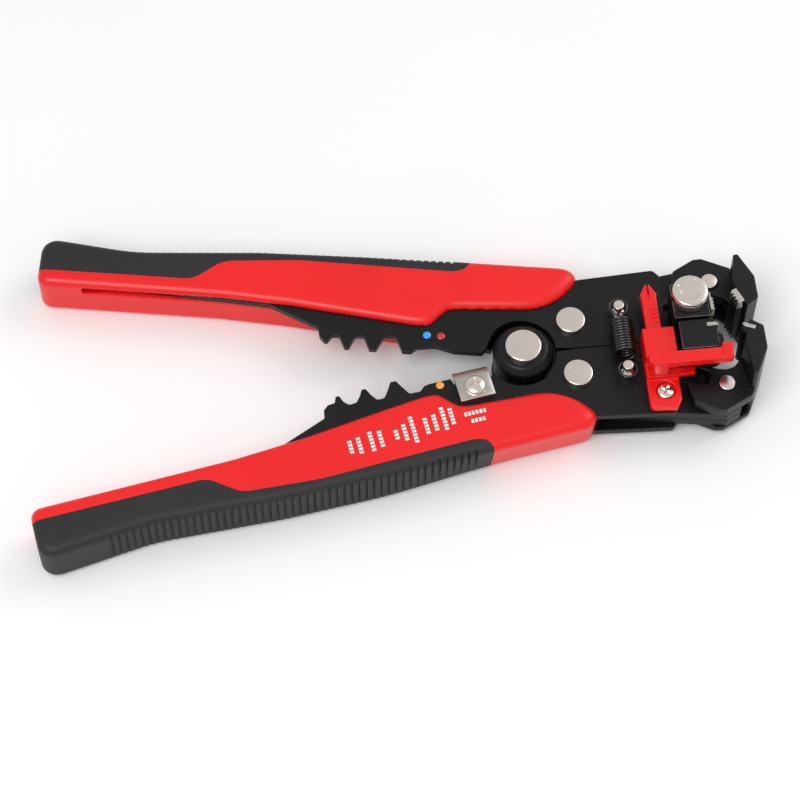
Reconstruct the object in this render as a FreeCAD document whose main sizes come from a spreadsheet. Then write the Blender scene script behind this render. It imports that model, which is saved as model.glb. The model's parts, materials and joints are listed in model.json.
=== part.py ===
import FreeCAD, Part
import math
import os
import Sketcher

# Self-adjusting wire stripper, cutter and crimper, millimetres, shown with the handles open.
# +X runs from the main pivot towards the jaws, +Y towards the upper handle, +Z out of the front.
# The origin is on the main pivot's axis, on the plane that the tool lies on.

DIMENSIONS = [
    # overall layout
    ("open_angle", 9.4, "each handle's angle from the tool's axis, handles open (degrees)"),
    ("lever_stroke", 5.6, "how far each handle turns on its frame when squeezed (degrees)"),
    ("lever_x", 14.2, "lever pivot, along the tool from the main pivot"),
    ("lever_y", 8.4, "lever pivot, out from the tool's axis"),
    ("jaw_x", 53.9, "outer jaw pivot, along the tool from the main pivot"),
    ("jaw_y", 16.2, "outer jaw pivot, out from the tool's axis"),
    ("jaw_swing", 24.0, "how far each outer jaw turns to close (degrees)"),
    ("upper_reach", 134.3, "upper handle's end behind the main pivot"),
    ("lower_reach", 138.8, "lower handle's end behind the main pivot"),
    # plate stack, from the middle plane outwards
    ("layer_gap", 0.1, "sliding gap between two plates that turn on each other"),
    ("frame_plate", 3.05, "thickness of one frame plate"),
    ("lever_plate", 2.1, "thickness of one lever plate"),
    ("jaw_plate", 4.0, "thickness of an outer jaw's front cheek"),
    ("jaw_rear_plate", 2.1, "thickness of an outer jaw's rear cheek"),
    ("rivet_proud", 0.7, "outer jaw rivet's ends above the cheeks"),
    ("seam_gap", 0.3, "gap between the upper and the lower plates along the tool's axis"),
    ("side_gap", 0.4, "clearance beside parts that swing past each other"),
    ("fit_gap", 0.05, "radial running clearance of pins in their holes"),
    # handles
    ("grip_thick", 15.0, "grip thickness"),
    ("grip_round", 2.2, "rounding of the grip's long edges"),
    ("grip_outer", 25.6, "outer side of the grip from the tool's axis"),
    ("grip_inner", 9.6, "inner side of the grip from the tool's axis"),
    ("grip_wall", 5.6, "grip wall outside the lever plates"),
    ("tang_back", 121.0, "end of the lever plates inside the grip"),
    # hub
    ("hub_radius", 8.3, "black hub disc"),
    ("hub_shoulder", 6.6, "top of the hub disc's bevel"),
    ("hub_level", 8.0, "front hub disc's face above the middle plane"),
    ("pin_head_tall", 1.5, "main rivet's head height"),
    ("ear_radius", 8.0, "frame ear round the main pivot"),
    ("pin_radius", 3.5, "main rivet's shank"),
    ("pin_head", 5.0, "main rivet's head"),
    # pivots and posts
    ("lever_pin", 2.5, "lever rivet's shank"),
    ("lever_head", 4.05, "lever rivet's head"),
    ("lever_head_tall", 1.4, "lever rivet's head height"),
    ("jaw_pin", 2.3, "outer jaw rivet"),
    ("post_x", 27.5, "spring post, along the tool"),
    ("post_y", 9.5, "spring post, out from the tool's axis"),
    ("post_above", 2.0, "spring post's end above the spring's hook"),
    ("post_head", 1.45, "spring post's head"),
    ("post_neck", 0.95, "spring post's neck"),
    # return spring
    ("coil_outer", 6.4, "return spring's outside diameter"),
    ("coil_wire", 0.8, "return spring's wire"),
    ("coil_length", 10.6, "return spring's close-wound length"),
    ("coil_clear", 0.3, "return spring's height above the lever plate"),
    # inner blocks
    ("block_back", 12.6, "gripper block's back face behind the jaw pivot"),
    ("block_front", 2.9, "gripper block's front face behind the jaw pivot"),
    ("block_top", 16.0, "inner blocks' top above the middle plane"),
    ("gripper_face", 1.3, "inner gripper teeth behind the jaw pivot"),
    ("cutter_back", 11.8, "cutter block's back face behind the jaw pivot, clear of the wire stop"),
    ("cutter_front", 1.8, "cutter block's front face behind the jaw pivot"),
    ("jaw_top", 17.0, "outer jaws' top above the middle plane"),
    # tension knob
    ("knob_back", 7.9, "knob's axis behind the jaw pivot"),
    ("knob_y", 6.3, "knob's axis, out from the tool's axis"),
    ("knob_radius", 4.87, "knurled knob"),
    ("knob_tall", 4.4, "knob's height"),
    ("knob_stem", 2.0, "knob's stem"),
    ("cam_throw", 0.4, "offset of the eccentric pin under the knob"),
    ("cam_radius", 1.0, "eccentric pin"),
    # wire stop
    ("stop_left", 21.7, "wire stop guide's left side behind the jaw pivot"),
    ("stop_right", 12.9, "wire stop guide's right side behind the jaw pivot"),
    ("rail_width", 4.2, "width of the sliding scale arm"),
    ("rail_thick", 2.6, "thickness of the sliding scale arm"),
    ("slide_gap", 0.15, "clearance of the scale arm in its guide"),
]

doc = FreeCAD.newDocument("wire_stripper")
nodes = []
sheet = doc.addObject("Spreadsheet::Sheet", "dims")
for row, (alias, value, meaning) in enumerate(DIMENSIONS, start=1):
    sheet.set("A%d" % row, meaning)
    sheet.set("B%d" % row, str(value))
    sheet.setAlias("B%d" % row, alias)
doc.recompute()


class Size:
    """A length or angle that knows its spreadsheet expression and its number."""

    def __init__(self, text, number):
        self.text = text
        self.number = number

    def _join(self, other, sign, number):
        text = other.text if isinstance(other, Size) else "%.6g" % other
        return Size("(%s %s %s)" % (self.text, sign, text), number)

    def __add__(self, other):
        return self._join(other, "+", self.number + float(other))

    def __sub__(self, other):
        return self._join(other, "-", self.number - float(other))

    def __mul__(self, other):
        return self._join(other, "*", self.number * float(other))

    def __truediv__(self, other):
        return self._join(other, "/", self.number / float(other))

    def __float__(self):
        return float(self.number)


def size(alias):
    return Size("dims." + alias, float(sheet.get(alias)))


def plain(number):
    return Size("%.6g" % number, float(number))


def turned_point(x, y, degrees):
    angle = math.radians(degrees)
    return (x * math.cos(angle) - y * math.sin(angle), x * math.sin(angle) + y * math.cos(angle))


open_angle = size("open_angle")
lever_x = size("lever_x")
lever_y = size("lever_y")
jaw_x = size("jaw_x")
jaw_y = size("jaw_y")
jaw_swing = size("jaw_swing")
layer_gap = size("layer_gap")
frame_plate = size("frame_plate")
lever_plate = size("lever_plate")
jaw_plate = size("jaw_plate")
fit_gap = size("fit_gap")
seam = float(size("seam_gap")) / 2
side_gap = float(size("side_gap"))
middle = size("grip_thick") / 2

frame_low = layer_gap / 2
frame_high = frame_low + frame_plate
lever_low = frame_high + layer_gap
lever_high = lever_low + lever_plate
jaw_high = lever_low + jaw_plate
jaw_rear = lever_low + size("jaw_rear_plate")
hub_rear = middle - size("pin_head_tall")
block_top = size("block_top")
jaw_top = size("jaw_top")


# ---------------------------------------------------------------- drawing helpers

USABLE_RUN = 0.98

def outline_edges(points):
    """Closed outline of straight runs; a third number on a point rounds that corner."""
    count = len(points)
    places = [FreeCAD.Vector(point[0], point[1], 0) for point in points]
    runs = [(places[(index + 1) % count] - places[index]).Length for index in range(count)]
    halves = []
    wanted = []
    for index, point in enumerate(points):
        before = places[index - 1] - places[index]
        after = places[(index + 1) % count] - places[index]
        halves.append(before.getAngle(after) / 2)
        wanted.append(point[2] / math.tan(halves[-1]) if len(point) > 2 else 0.0)
    # two corners that want more than the run between them share it
    shares = [min(1.0, USABLE_RUN * runs[index] / (wanted[index] + wanted[(index + 1) % count] + 1e-9))
              for index in range(count)]
    corners = []
    for index, here in enumerate(places):
        reach = wanted[index] * min(shares[index - 1], shares[index])
        if reach == 0:
            corners.append((here, None, here))
            continue
        before = (places[index - 1] - here).normalize()
        after = (places[(index + 1) % count] - here).normalize()
        radius = reach * math.tan(halves[index])
        centre = here + (before + after).normalize() * (radius / math.sin(halves[index]))
        crown = centre + (here - centre).normalize() * radius
        corners.append((here + before * reach, crown, here + after * reach))
    edges = []
    for index, (start, crown, end) in enumerate(corners):
        if crown is not None:
            edges.append(Part.Arc(start, crown, end))
        following = corners[(index + 1) % count][0]
        if (following - end).Length > 1e-6:
            edges.append(Part.LineSegment(end, following))
    return edges


class Piece:
    """One PartDesign body: pads and pockets on sketches parallel to the tool's middle plane."""

    def __init__(self, name, x=None, y=None, turn=None, kept=True):
        self.body = doc.addObject("PartDesign::Body", name)
        self.body.Label = name
        if kept:
            nodes.append(self.body)
        self.name = name
        self.steps = 0
        if x is not None:
            self.body.setExpression("Placement.Base.x", x.text)
            self.body.setExpression("Placement.Base.y", y.text)
        if turn is not None:
            self.body.setExpression("Placement.Rotation.Angle", turn.text)
        self.body.setExpression("Placement.Base.z", middle.text)

    def plane(self, role):
        for feature in self.body.Origin.OriginFeatures:
            if feature.Role == role:
                return feature
        raise RuntimeError("no plane " + role)

    def sketch(self, level, outline, holes):
        self.steps += 1
        sketch = self.body.newObject("Sketcher::SketchObject", "%s_sketch%d" % (self.name, self.steps))
        sketch.AttachmentSupport = [(self.plane("XY_Plane"), "")]
        sketch.MapMode = "FlatFace"
        sketch.setExpression("AttachmentOffset.Base.z", level.text)
        if outline:
            sketch.addGeometry(outline_edges(outline), False)
        for x, y, radius in holes:
            self.circle(sketch, x, y, radius)
        return sketch

    def circle(self, sketch, x, y, radius):
        centre = FreeCAD.Vector(float(x), float(y), 0)
        up = FreeCAD.Vector(0, 0, 1)
        index = sketch.addGeometry(Part.Circle(centre, up, float(radius)), False)
        rule = sketch.addConstraint(Sketcher.Constraint("Radius", index, float(radius)))
        if isinstance(radius, Size):
            sketch.setExpression("Constraints[%d]" % rule, radius.text)
        for kind, place in (("DistanceX", x), ("DistanceY", y)):
            if isinstance(place, Size):
                rule = sketch.addConstraint(Sketcher.Constraint(kind, -1, 1, index, 3, float(place)))
                sketch.setExpression("Constraints[%d]" % rule, place.text)

    def pad(self, low, high, outline=(), holes=()):
        sketch = self.sketch(low, outline, holes)
        pad = self.body.newObject("PartDesign::Pad", "%s_pad%d" % (self.name, self.steps))
        pad.Profile = sketch
        pad.setExpression("Length", (high - low).text)
        doc.recompute()
        return self

    def pocket(self, low, high, outline=(), holes=()):
        before = self.body.Shape.Volume
        sketch = self.sketch(high, outline, holes)
        pocket = self.body.newObject("PartDesign::Pocket", "%s_pocket%d" % (self.name, self.steps))
        pocket.Profile = sketch
        pocket.setExpression("Length", (high - low).text)
        doc.recompute()
        if self.body.Shape.Volume > before - 1e-3:
            raise RuntimeError("pocket cut nothing in " + self.name)
        return self

    def round_edges(self, chosen, radius):
        tip = self.body.Tip
        names = ["Edge%d" % (i + 1) for i, edge in enumerate(tip.Shape.Edges) if chosen(edge)]
        fillet = self.body.newObject("PartDesign::Fillet", self.name + "_fillet")
        fillet.Base = (tip, names)
        fillet.setExpression("Radius", radius.text)
        doc.recompute()
        return self


def turned(name, profile, x, y, hollow=False):
    """A turned part: (radius, level) corners, every one tied to the sheet, spun about its axis."""
    piece = Piece(name, x, y)
    sketch = piece.body.newObject("Sketcher::SketchObject", name + "_profile")
    sketch.AttachmentSupport = [(piece.plane("XZ_Plane"), "")]
    sketch.MapMode = "FlatFace"
    corners = list(profile)
    if not hollow:
        corners = [(plain(0), profile[0][1])] + corners + [(plain(0), profile[-1][1])]
    places = [FreeCAD.Vector(float(radius), float(level), 0) for radius, level in corners]
    for index, place in enumerate(places):
        sketch.addGeometry(Part.LineSegment(place, places[(index + 1) % len(places)]), False)
    for index, (radius, level) in enumerate(corners):
        following = (index + 1) % len(corners)
        sketch.addConstraint(Sketcher.Constraint("Coincident", index, 2, following, 1))
        for kind, amount in (("DistanceX", radius), ("DistanceY", level)):
            rule = sketch.addConstraint(Sketcher.Constraint(kind, -1, 1, index, 1, float(amount)))
            sketch.setExpression("Constraints[%d]" % rule, amount.text)
    spin = piece.body.newObject("PartDesign::Revolution", name + "_turned")
    spin.Profile = sketch
    spin.ReferenceAxis = (sketch, ["V_Axis"])
    spin.Angle = 360
    doc.recompute()
    return piece


def mirrored(points, side):
    """The same outline on the upper (side 1) or the lower (side -1) half of the tool."""
    return [(point[0], side * point[1]) + tuple(point[2:]) for point in points]


def scaled(sign, amount):
    return amount * sign


# ---------------------------------------------------------------- places on the levers and jaws

LX, LY, JX, JY = float(lever_x), float(lever_y), float(jaw_x), float(jaw_y)
OPEN, STROKE, SWING = float(open_angle), float(size("lever_stroke")), float(jaw_swing)
SIDES = (("upper", "gripper", 1), ("lower", "cutter", -1))

# the rounded nose of a lever drives a fork on its outer jaw: both sit on the line between the pivots
PIVOT_LINE = math.degrees(math.atan2(JY - LY, JX - LX))
PIVOT_SPAN = math.hypot(JX - LX, JY - LY)
FORK_REACH = PIVOT_SPAN / (1 + SWING / STROKE)
NOSE_REACH = PIVOT_SPAN - FORK_REACH
NOSE_RADIUS = 2.0
NOSE_PLAY = 0.3


def on_lever(points):
    """Points given from the main pivot, handle along the tool's axis, as seen from the lever pivot."""
    return [(point[0] - LX, point[1] - LY) + tuple(point[2:]) for point in points]


def from_rest(points):
    """Points given with the handles open, as seen from the lever pivot on the lever."""
    placed = []
    for point in points:
        x, y = turned_point(point[0] - LX, point[1] - LY, OPEN)
        placed.append((x, y) + tuple(point[2:]))
    return placed


def lever_piece(name, side, kept=True):
    return Piece(name, lever_x, scaled(side, lever_y), scaled(-side, open_angle), kept)


def jaw_piece(name, side):
    return Piece(name, jaw_x, scaled(side, jaw_y), scaled(side, jaw_swing))


def frame_piece(name):
    return Piece(name)


# ---------------------------------------------------------------- frame plates

FRAME_TIP = JX - 2.7


def frame_outline():
    """One half of the head's frame, from the hub to the jaw rivet."""
    return [
        (3.0, seam), (FRAME_TIP, seam), (FRAME_TIP, 8.2, 2.0), (JX - 0.7, JY - 5.4, 1.0),
        (JX + 4.3, JY - 2.2, 2.0), (JX + 4.6, JY + 1.4, 2.0), (JX + 3.6, JY + 5.4, 1.0),
        (JX - 0.5, JY + 7.5, 1.0), (22.5, 19.2, 3.0), (18.6, 17.0, 2.0),
        (LX - 2.0, LY + 5.6, 3.0), (6.0, LY - 0.4, 2.0),
    ]


def frame_holes(side):
    """Rivet holes and the two block screws of one frame half."""
    return [
        (lever_x, scaled(side, lever_y), size("lever_pin") + fit_gap),
        (jaw_x, scaled(side, jaw_y), size("jaw_pin") + fit_gap),
    ] + [(x, side * y, SCREW_RADIUS) for x, y in BLOCK_SCREWS]


SCREW_RADIUS = 1.25
BLOCK_SCREWS = ((JX - 9.7, 3.4), (JX - 5.7, 3.4))
LAYERS = (("front", frame_low, frame_high), ("rear", scaled(-1, frame_high), scaled(-1, frame_low)))


def frame_plates(word, side, ear_layer):
    for layer, low, high in LAYERS:
        piece = frame_piece("%s_frame_%s" % (word, layer))
        piece.pad(low, high, mirrored(frame_outline(), side))
        if layer == ear_layer:
            piece.pad(low, high, holes=[(0, 0, size("ear_radius"))])
            piece.pocket(low, high, holes=[(0, 0, size("pin_radius") + fit_gap)])
        else:
            piece.pocket(low, high, holes=[(0, 0, size("ear_radius") + side_gap)])
        piece.pocket(low, high, holes=frame_holes(side))


frame_plates("upper", 1, "front")
frame_plates("lower", -1, "rear")


# ---------------------------------------------------------------- rivets, hub discs and posts

def rivet(name, x, y, shank, head, tall, rear_seat, front_seat):
    """A rivet whose two heads sit on the seats behind and in front of the middle plane."""
    bevel = 0.3
    front, rear = front_seat + tall, rear_seat + tall
    turned(name, [
        (head - bevel, scaled(-1, rear)), (head, scaled(-1, rear - bevel)),
        (head, scaled(-1, rear_seat)), (shank, scaled(-1, rear_seat)),
        (shank, front_seat), (head, front_seat), (head, front - bevel), (head - bevel, front),
    ], x, y)


lever_top = lever_high + layer_gap
rivet("main_pivot_rivet", plain(0), plain(0), size("pin_radius"), size("pin_head"), size("pin_head_tall"),
      hub_rear, size("hub_level"))
for word, jaw_word, side in SIDES:
    rivet(word + "_lever_rivet", lever_x, scaled(side, lever_y), size("lever_pin"), size("lever_head"),
          size("lever_head_tall"), lever_top, lever_top)
    pin_rear, pin_front = jaw_rear + size("rivet_proud"), jaw_high + size("rivet_proud")
    turned(jaw_word + "_jaw_rivet", [
        (size("jaw_pin") - 0.3, scaled(-1, pin_rear)), (size("jaw_pin"), scaled(-1, pin_rear - 0.3)),
        (size("jaw_pin"), pin_front - 0.3), (size("jaw_pin") - 0.3, pin_front),
    ], jaw_x, scaled(side, jaw_y))

for layer, sign, face, rim in (("front", 1, size("hub_level"), lever_high + 0.6),
                               ("rear", -1, hub_rear, lever_high)):
    bore = size("pin_radius") + fit_gap
    turned("hub_disc_" + layer, [
        (bore, scaled(sign, lever_low)), (size("hub_radius"), scaled(sign, lever_low)),
        (size("hub_radius"), scaled(sign, rim)), (size("hub_shoulder"), scaled(sign, face)),
        (bore, scaled(sign, face)),
    ], plain(0), plain(0), hollow=True)

POST_SHANK = 1.2
coil_level = lever_high + size("coil_clear") + size("coil_outer") / 2
hook_level = coil_level - 0.3
for word, jaw_word, side in SIDES:
    neck_low = hook_level - size("coil_wire") / 2 - 1.9
    neck_high = hook_level + size("coil_wire") / 2 + 0.3
    post_end = hook_level + size("post_above")
    turned(word + "_spring_post", [
        (plain(POST_SHANK), lever_low), (plain(POST_SHANK), lever_high),
        (plain(1.7), lever_high), (plain(1.7), neck_low), (size("post_neck"), neck_low),
        (size("post_neck"), neck_high), (size("post_head"), neck_high),
        (size("post_head"), post_end - 0.2), (size("post_head") - 0.2, post_end),
    ], size("post_x"), scaled(side, size("post_y")))


# ---------------------------------------------------------------- lever plates

TANG_BACK = float(size("tang_back"))
TANG_OUTER = float(size("grip_outer")) - float(size("grip_wall"))
# the front edge stands back from the inner blocks and from the swinging fork
BLOCK_ROOM, FORK_ROOM = 1.1, 6.0
FRONT_EDGE = JX - max(float(size("block_back")) + BLOCK_ROOM, FORK_REACH + FORK_ROOM)

UPPER_CRIMP = [
    (-TANG_BACK, 12.5), (-69.0, 8.6, 3.0), (-55.2, 2.4, 0.6), (-54.5, -0.4, 0.6), (-52.6, -2.4, 0.8),
    (-51.0, 0.2, 0.8), (-49.2, 0.2, 0.8), (-47.5, -3.4, 0.2), (-46.2, -3.4, 0.3),
    (-44.6, 0.5, 1.2), (-42.4, 0.5, 1.2), (-40.6, -3.6, 0.2), (-38.7, -3.6, 0.3),
    (-36.7, 0.9, 1.4), (-33.5, 0.9, 1.4), (-31.5, -3.7, 0.2), (-29.0, -3.7, 0.5),
    (-27.6, -2.2, 1.5), (-22.5, -1.5, 4.0), (-17.5, -2.9, 2.0), (-9.6, -3.0, 0.5), (-8.4, -1.2, 0.5),
]
LOWER_CRIMP = [
    (-TANG_BACK, 12.5), (-70.0, 9.0, 3.0), (-56.0, 3.5, 0.6), (-55.6, 1.0, 0.8), (-54.2, -0.2, 1.0),
    (-52.2, -0.4, 0.3), (-51.5, -2.2, 0.3), (-50.5, -2.2, 0.3), (-49.7, 0.0, 0.8), (-48.4, 1.2, 0.8),
    (-46.4, 1.0, 0.9), (-45.0, -0.8, 0.8), (-44.1, -2.5, 0.3), (-43.0, -2.5, 0.4), (-42.0, -0.2, 0.8),
    (-40.8, 1.6, 0.9), (-38.8, 1.7, 1.0), (-37.2, -0.6, 0.8), (-36.0, -2.7, 0.3), (-34.4, -2.7, 0.5),
    (-33.2, -0.4, 0.8), (-31.8, 2.1, 0.9), (-28.8, 2.2, 1.0), (-27.4, 0.9, 0.8), (-26.0, 0.6, 1.0),
    (-19.8, 0.6, 0.2), (-19.3, 2.6, 0.5), (-9.4, 2.6, 0.5),
]
REAR_EDGE = [(-TANG_BACK, 12.5), (-30.0, 12.0, 4.0), (-20.0, 4.5, 3.0), (-8.4, 3.0)]


def lever_outline(inner_edge):
    """Inner edge, seam, front end with its driving finger, then back along the outer edge."""
    nose_x, nose_y = turned_point(NOSE_REACH, 0, PIVOT_LINE - STROKE / 2)
    nose_x, nose_y = nose_x + LX, nose_y + LY
    seam_and_front = [
        (6.0, seam + 0.75), (LX, seam), (FRONT_EDGE, seam, 0.5), (FRONT_EDGE, nose_y - 2.0, 1.0),
        (nose_x, nose_y - 1.1), (nose_x, nose_y + 1.1), (FRONT_EDGE, nose_y + 0.2, 1.0),
        (FRONT_EDGE + 0.6, 20.6, 1.2), (FRONT_EDGE - 1.2, 22.7, 1.5),
    ]
    tang = [(LX, 21.8, 20.0), (8.0, TANG_OUTER - 0.2, 10.0), (-TANG_BACK, TANG_OUTER - 0.5)]
    return on_lever(inner_edge) + from_rest(seam_and_front) + on_lever(tang)


def lever_plate_piece(name, side, low, high, inner_edge, post):
    piece = lever_piece(name, side)
    piece.pad(low, high, mirrored(lever_outline(inner_edge), side))
    nose_x, nose_y = turned_point(NOSE_REACH, 0, PIVOT_LINE - STROKE / 2 + OPEN)
    piece.pad(low, high, holes=[(nose_x, side * nose_y, NOSE_RADIUS)])
    # the round cut-out clears the hub disc over the whole stroke
    hub_x, hub_y = turned_point(-LX, -LY, OPEN - STROKE / 2)
    half_travel = math.hypot(LX, LY) * math.sin(math.radians(STROKE / 2))
    hub_room = size("hub_radius") + (half_travel + side_gap)
    piece.pocket(low, high, holes=[(hub_x, side * hub_y, hub_room)])
    piece.pocket(low, high, holes=[(0, 0, size("lever_pin") + fit_gap)])
    if post:
        (post_x, post_y), = from_rest([(float(size("post_x")), float(size("post_y")))])
        piece.pocket(low, high, holes=[(post_x, side * post_y, POST_SHANK)])


for word, jaw_word, side in SIDES:
    crimp = UPPER_CRIMP if side == 1 else LOWER_CRIMP
    lever_plate_piece(word + "_lever_front", side, lever_low, lever_high, crimp, True)
    lever_plate_piece(word + "_lever_rear", side, scaled(-1, lever_high), scaled(-1, lever_low),
                      REAR_EDGE, False)


# ---------------------------------------------------------------- grips

GRIP_OUTER = float(size("grip_outer"))
GRIP_INNER = float(size("grip_inner"))


def grip_outline(reach):
    return [
        (-reach, GRIP_INNER + 0.8, 3.0), (-reach, GRIP_OUTER - 3.0, 6.0), (-reach + 2.5, GRIP_OUTER, 6.0),
        (-108.0, GRIP_OUTER - 2.8, 60.0), (-73.0, GRIP_OUTER - 0.6, 60.0), (-17.0, GRIP_OUTER + 0.2, 60.0),
        (13.0, GRIP_OUTER, 4.0), (15.8, 22.4, 2.5), (10.2, 11.7, 17.0),
        (-19.6, 9.9, 4.0), (-24.6, 4.2, 3.0), (-29.0, 4.2, 12.0),
        (-64.0, GRIP_INNER - 1.3, 60.0), (-83.0, GRIP_INNER, 60.0),
    ]


def overmould_outline(reach):
    """Everything outside the line where the soft black overmould meets the red core."""
    return [
        (-reach - 5, 14.7), (-91.0, 14.2, 3.0), (-83.0, 20.6, 4.0), (-62.0, 22.2, 30.0),
        (-18.0, 21.2, 4.0), (-14.5, 23.0, 2.0), (-14.0, 40.0), (-reach - 5, 40.0),
    ]


def channel_outline(back, inner):
    """Room for the lever plates inside the grip, open on the grip's inner side in front of back."""
    outer = TANG_OUTER + 0.2
    return [(back, outer), (back, inner), (22.0, inner), (22.0, 22.8), (15.5, 22.8), (8.0, outer)]


def boolean(kind, name, base, tool, kept=True):
    result = doc.addObject("Part::" + kind, name)
    if kept:
        nodes.append(result)
    result.Base = base
    result.Tool = tool
    return result


for word, jaw_word, side in SIDES:
    reach = float(size(word + "_reach"))
    half = size("grip_thick") / 2
    blank = lever_piece(word + "_grip_blank", side, False)
    blank.pad(scaled(-1, half), half, mirrored(on_lever(grip_outline(reach)), side))
    faces = (float(half), -float(half))
    blank.round_edges(lambda edge: any(abs(edge.BoundBox.ZMin - z) < 1e-4 and
                                       abs(edge.BoundBox.ZMax - z) < 1e-4 for z in faces),
                      size("grip_round"))
    front = lever_piece(word + "_front_channel", side, False)
    front.pad(lever_low, lever_high, mirrored(on_lever(channel_outline(-TANG_BACK - 0.5, -20.0)), side))
    rear = lever_piece(word + "_rear_channel", side, False)
    rear.pad(scaled(-1, lever_high), scaled(-1, lever_low),
             mirrored(on_lever(channel_outline(-TANG_BACK - 0.5, 12.0)), side))
    nose = lever_piece(word + "_nose_channel", side, False)
    nose.pad(scaled(-1, lever_high), lever_high, mirrored(on_lever(channel_outline(-32.0, -20.0)), side))
    skin = lever_piece(word + "_overmould_cutter", side, False)
    skin.pad(scaled(-1, half + 1), half + 1, mirrored(on_lever(overmould_outline(reach)), side))
    core = blank.body
    for tool in (front, rear, nose):
        core = boolean("Cut", tool.name + "_cut", core, tool.body, False)
    boolean("Cut", word + "_grip", core, skin.body)
    boolean("Common", word + "_grip_overmould", core, skin.body)


# ---------------------------------------------------------------- handle cutter

BLADE_LOW = lever_high + layer_gap / 2
BLADE_HIGH = BLADE_LOW + 2.0
SCREW_X, SCREW_Y = -14.2, 5.6

blade = lever_piece("handle_cutter_blade", -1)
blade.pad(BLADE_LOW, BLADE_HIGH, mirrored(on_lever([
    (-19.2, -0.4), (-9.5, -0.4), (-9.5, 9.2), (-19.2, 9.2)]), -1))
blade.pocket(BLADE_LOW, BLADE_HIGH, holes=[(SCREW_X - LX, LY - SCREW_Y, 1.6)])

screw_x, screw_y = turned_point(SCREW_X - LX, LY - SCREW_Y, OPEN)
turned("handle_cutter_screw", [
    (plain(1.5), BLADE_LOW), (plain(1.5), BLADE_HIGH), (plain(2.9), BLADE_HIGH),
    (plain(2.9), BLADE_HIGH + 0.9), (plain(2.2), BLADE_HIGH + 1.6),
], lever_x + screw_x, scaled(-1, lever_y) + screw_y)


# ---------------------------------------------------------------- inner blocks

BLOCK_BACK = JX - float(size("block_back"))
BLOCK_STEP = jaw_high + 0.3
knob_x = jaw_x - size("knob_back")
KNOB_X, KNOB_Y = float(knob_x), float(size("knob_y"))
GRIPPER_FACE = JX - float(size("gripper_face"))
BLOCK_FRONT = JX - float(size("block_front"))
CUTTER_BACK = JX - float(size("cutter_back"))
CUTTER_FRONT = JX - float(size("cutter_front"))
SLIDE_PLAY = float(size("cam_throw"))
TONGUE_LOW = size("block_top") - 5.0
TONGUE_HIGH = size("block_top") - 3.0
TONGUE_HALF = 1.6
TONGUE_BACK = KNOB_X - 2.1
SLOT_GAP = 0.07

block = frame_piece("inner_gripper_block")
block.pad(frame_high, BLOCK_STEP, [
    (BLOCK_BACK, 0.5), (BLOCK_FRONT, 0.5), (BLOCK_FRONT, 8.0), (BLOCK_BACK, 8.0)])
block.pad(BLOCK_STEP, block_top, [
    (BLOCK_BACK, 0.5, 0.5), (BLOCK_FRONT, 0.5, 0.5), (BLOCK_FRONT, 11.3, 1.0), (BLOCK_BACK, 11.3, 1.0)])
block.pocket(TONGUE_LOW - 0.15, TONGUE_HIGH + 0.15, [
    (TONGUE_BACK - 0.7, KNOB_Y - TONGUE_HALF - 0.15), (BLOCK_FRONT + 1, KNOB_Y - TONGUE_HALF - 0.15),
    (BLOCK_FRONT + 1, KNOB_Y + TONGUE_HALF + 0.15), (TONGUE_BACK - 0.7, KNOB_Y + TONGUE_HALF + 0.15)])
block.pocket(TONGUE_HIGH, block_top, holes=[(knob_x, size("knob_y"), size("knob_stem") + fit_gap)])
block.pocket(frame_high, frame_high + 5.0, holes=[(x, y, SCREW_RADIUS) for x, y in BLOCK_SCREWS])


def teeth(face, root, low, high, count):
    """Saw teeth along y: a flat back at root and points at face."""
    pitch = (high - low) / count
    points = []
    for index in range(count):
        points.append((root, low + pitch * index))
        points.append((face, low + pitch * (index + 0.35)))
    points.append((root, high))
    return points


insert = frame_piece("inner_gripper_insert")
PLATE_BACK = BLOCK_FRONT + SLIDE_PLAY + 0.05
insert.pad(TONGUE_LOW, TONGUE_HIGH, [
    (TONGUE_BACK, KNOB_Y - TONGUE_HALF), (PLATE_BACK + 0.3, KNOB_Y - TONGUE_HALF),
    (PLATE_BACK + 0.3, KNOB_Y + TONGUE_HALF), (TONGUE_BACK, KNOB_Y + TONGUE_HALF)])
insert.pad(lever_high, block_top - 0.1,
           [(PLATE_BACK, 7.9), (PLATE_BACK, 2.3)] + teeth(GRIPPER_FACE, PLATE_BACK + 0.5, 2.3, 6.4, 4) +
           [(PLATE_BACK + 0.5, 7.9)])
slot_half = float(size("cam_radius")) + SLOT_GAP
slot_low = KNOB_Y - SLIDE_PLAY - slot_half
slot_high = KNOB_Y - SLIDE_PLAY / 2 + slot_half
insert.pocket(TONGUE_LOW, TONGUE_HIGH, [
    (KNOB_X - slot_half, slot_low), (KNOB_X + slot_half, slot_low),
    (KNOB_X + slot_half, slot_high), (KNOB_X - slot_half, slot_high)])

knob = turned("tension_knob", [
    (size("knob_stem"), TONGUE_HIGH + 0.2), (size("knob_stem"), block_top + 0.2),
    (size("knob_radius"), block_top + 0.2), (size("knob_radius"), block_top + (size("knob_tall") - 0.6)),
    (size("knob_radius") - 0.6, block_top + size("knob_tall")),
], knob_x, size("knob_y"))
knob.pad(TONGUE_LOW + 0.2, TONGUE_HIGH + 0.2, holes=[(0, scaled(-1, size("cam_throw")), size("cam_radius"))])

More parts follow.
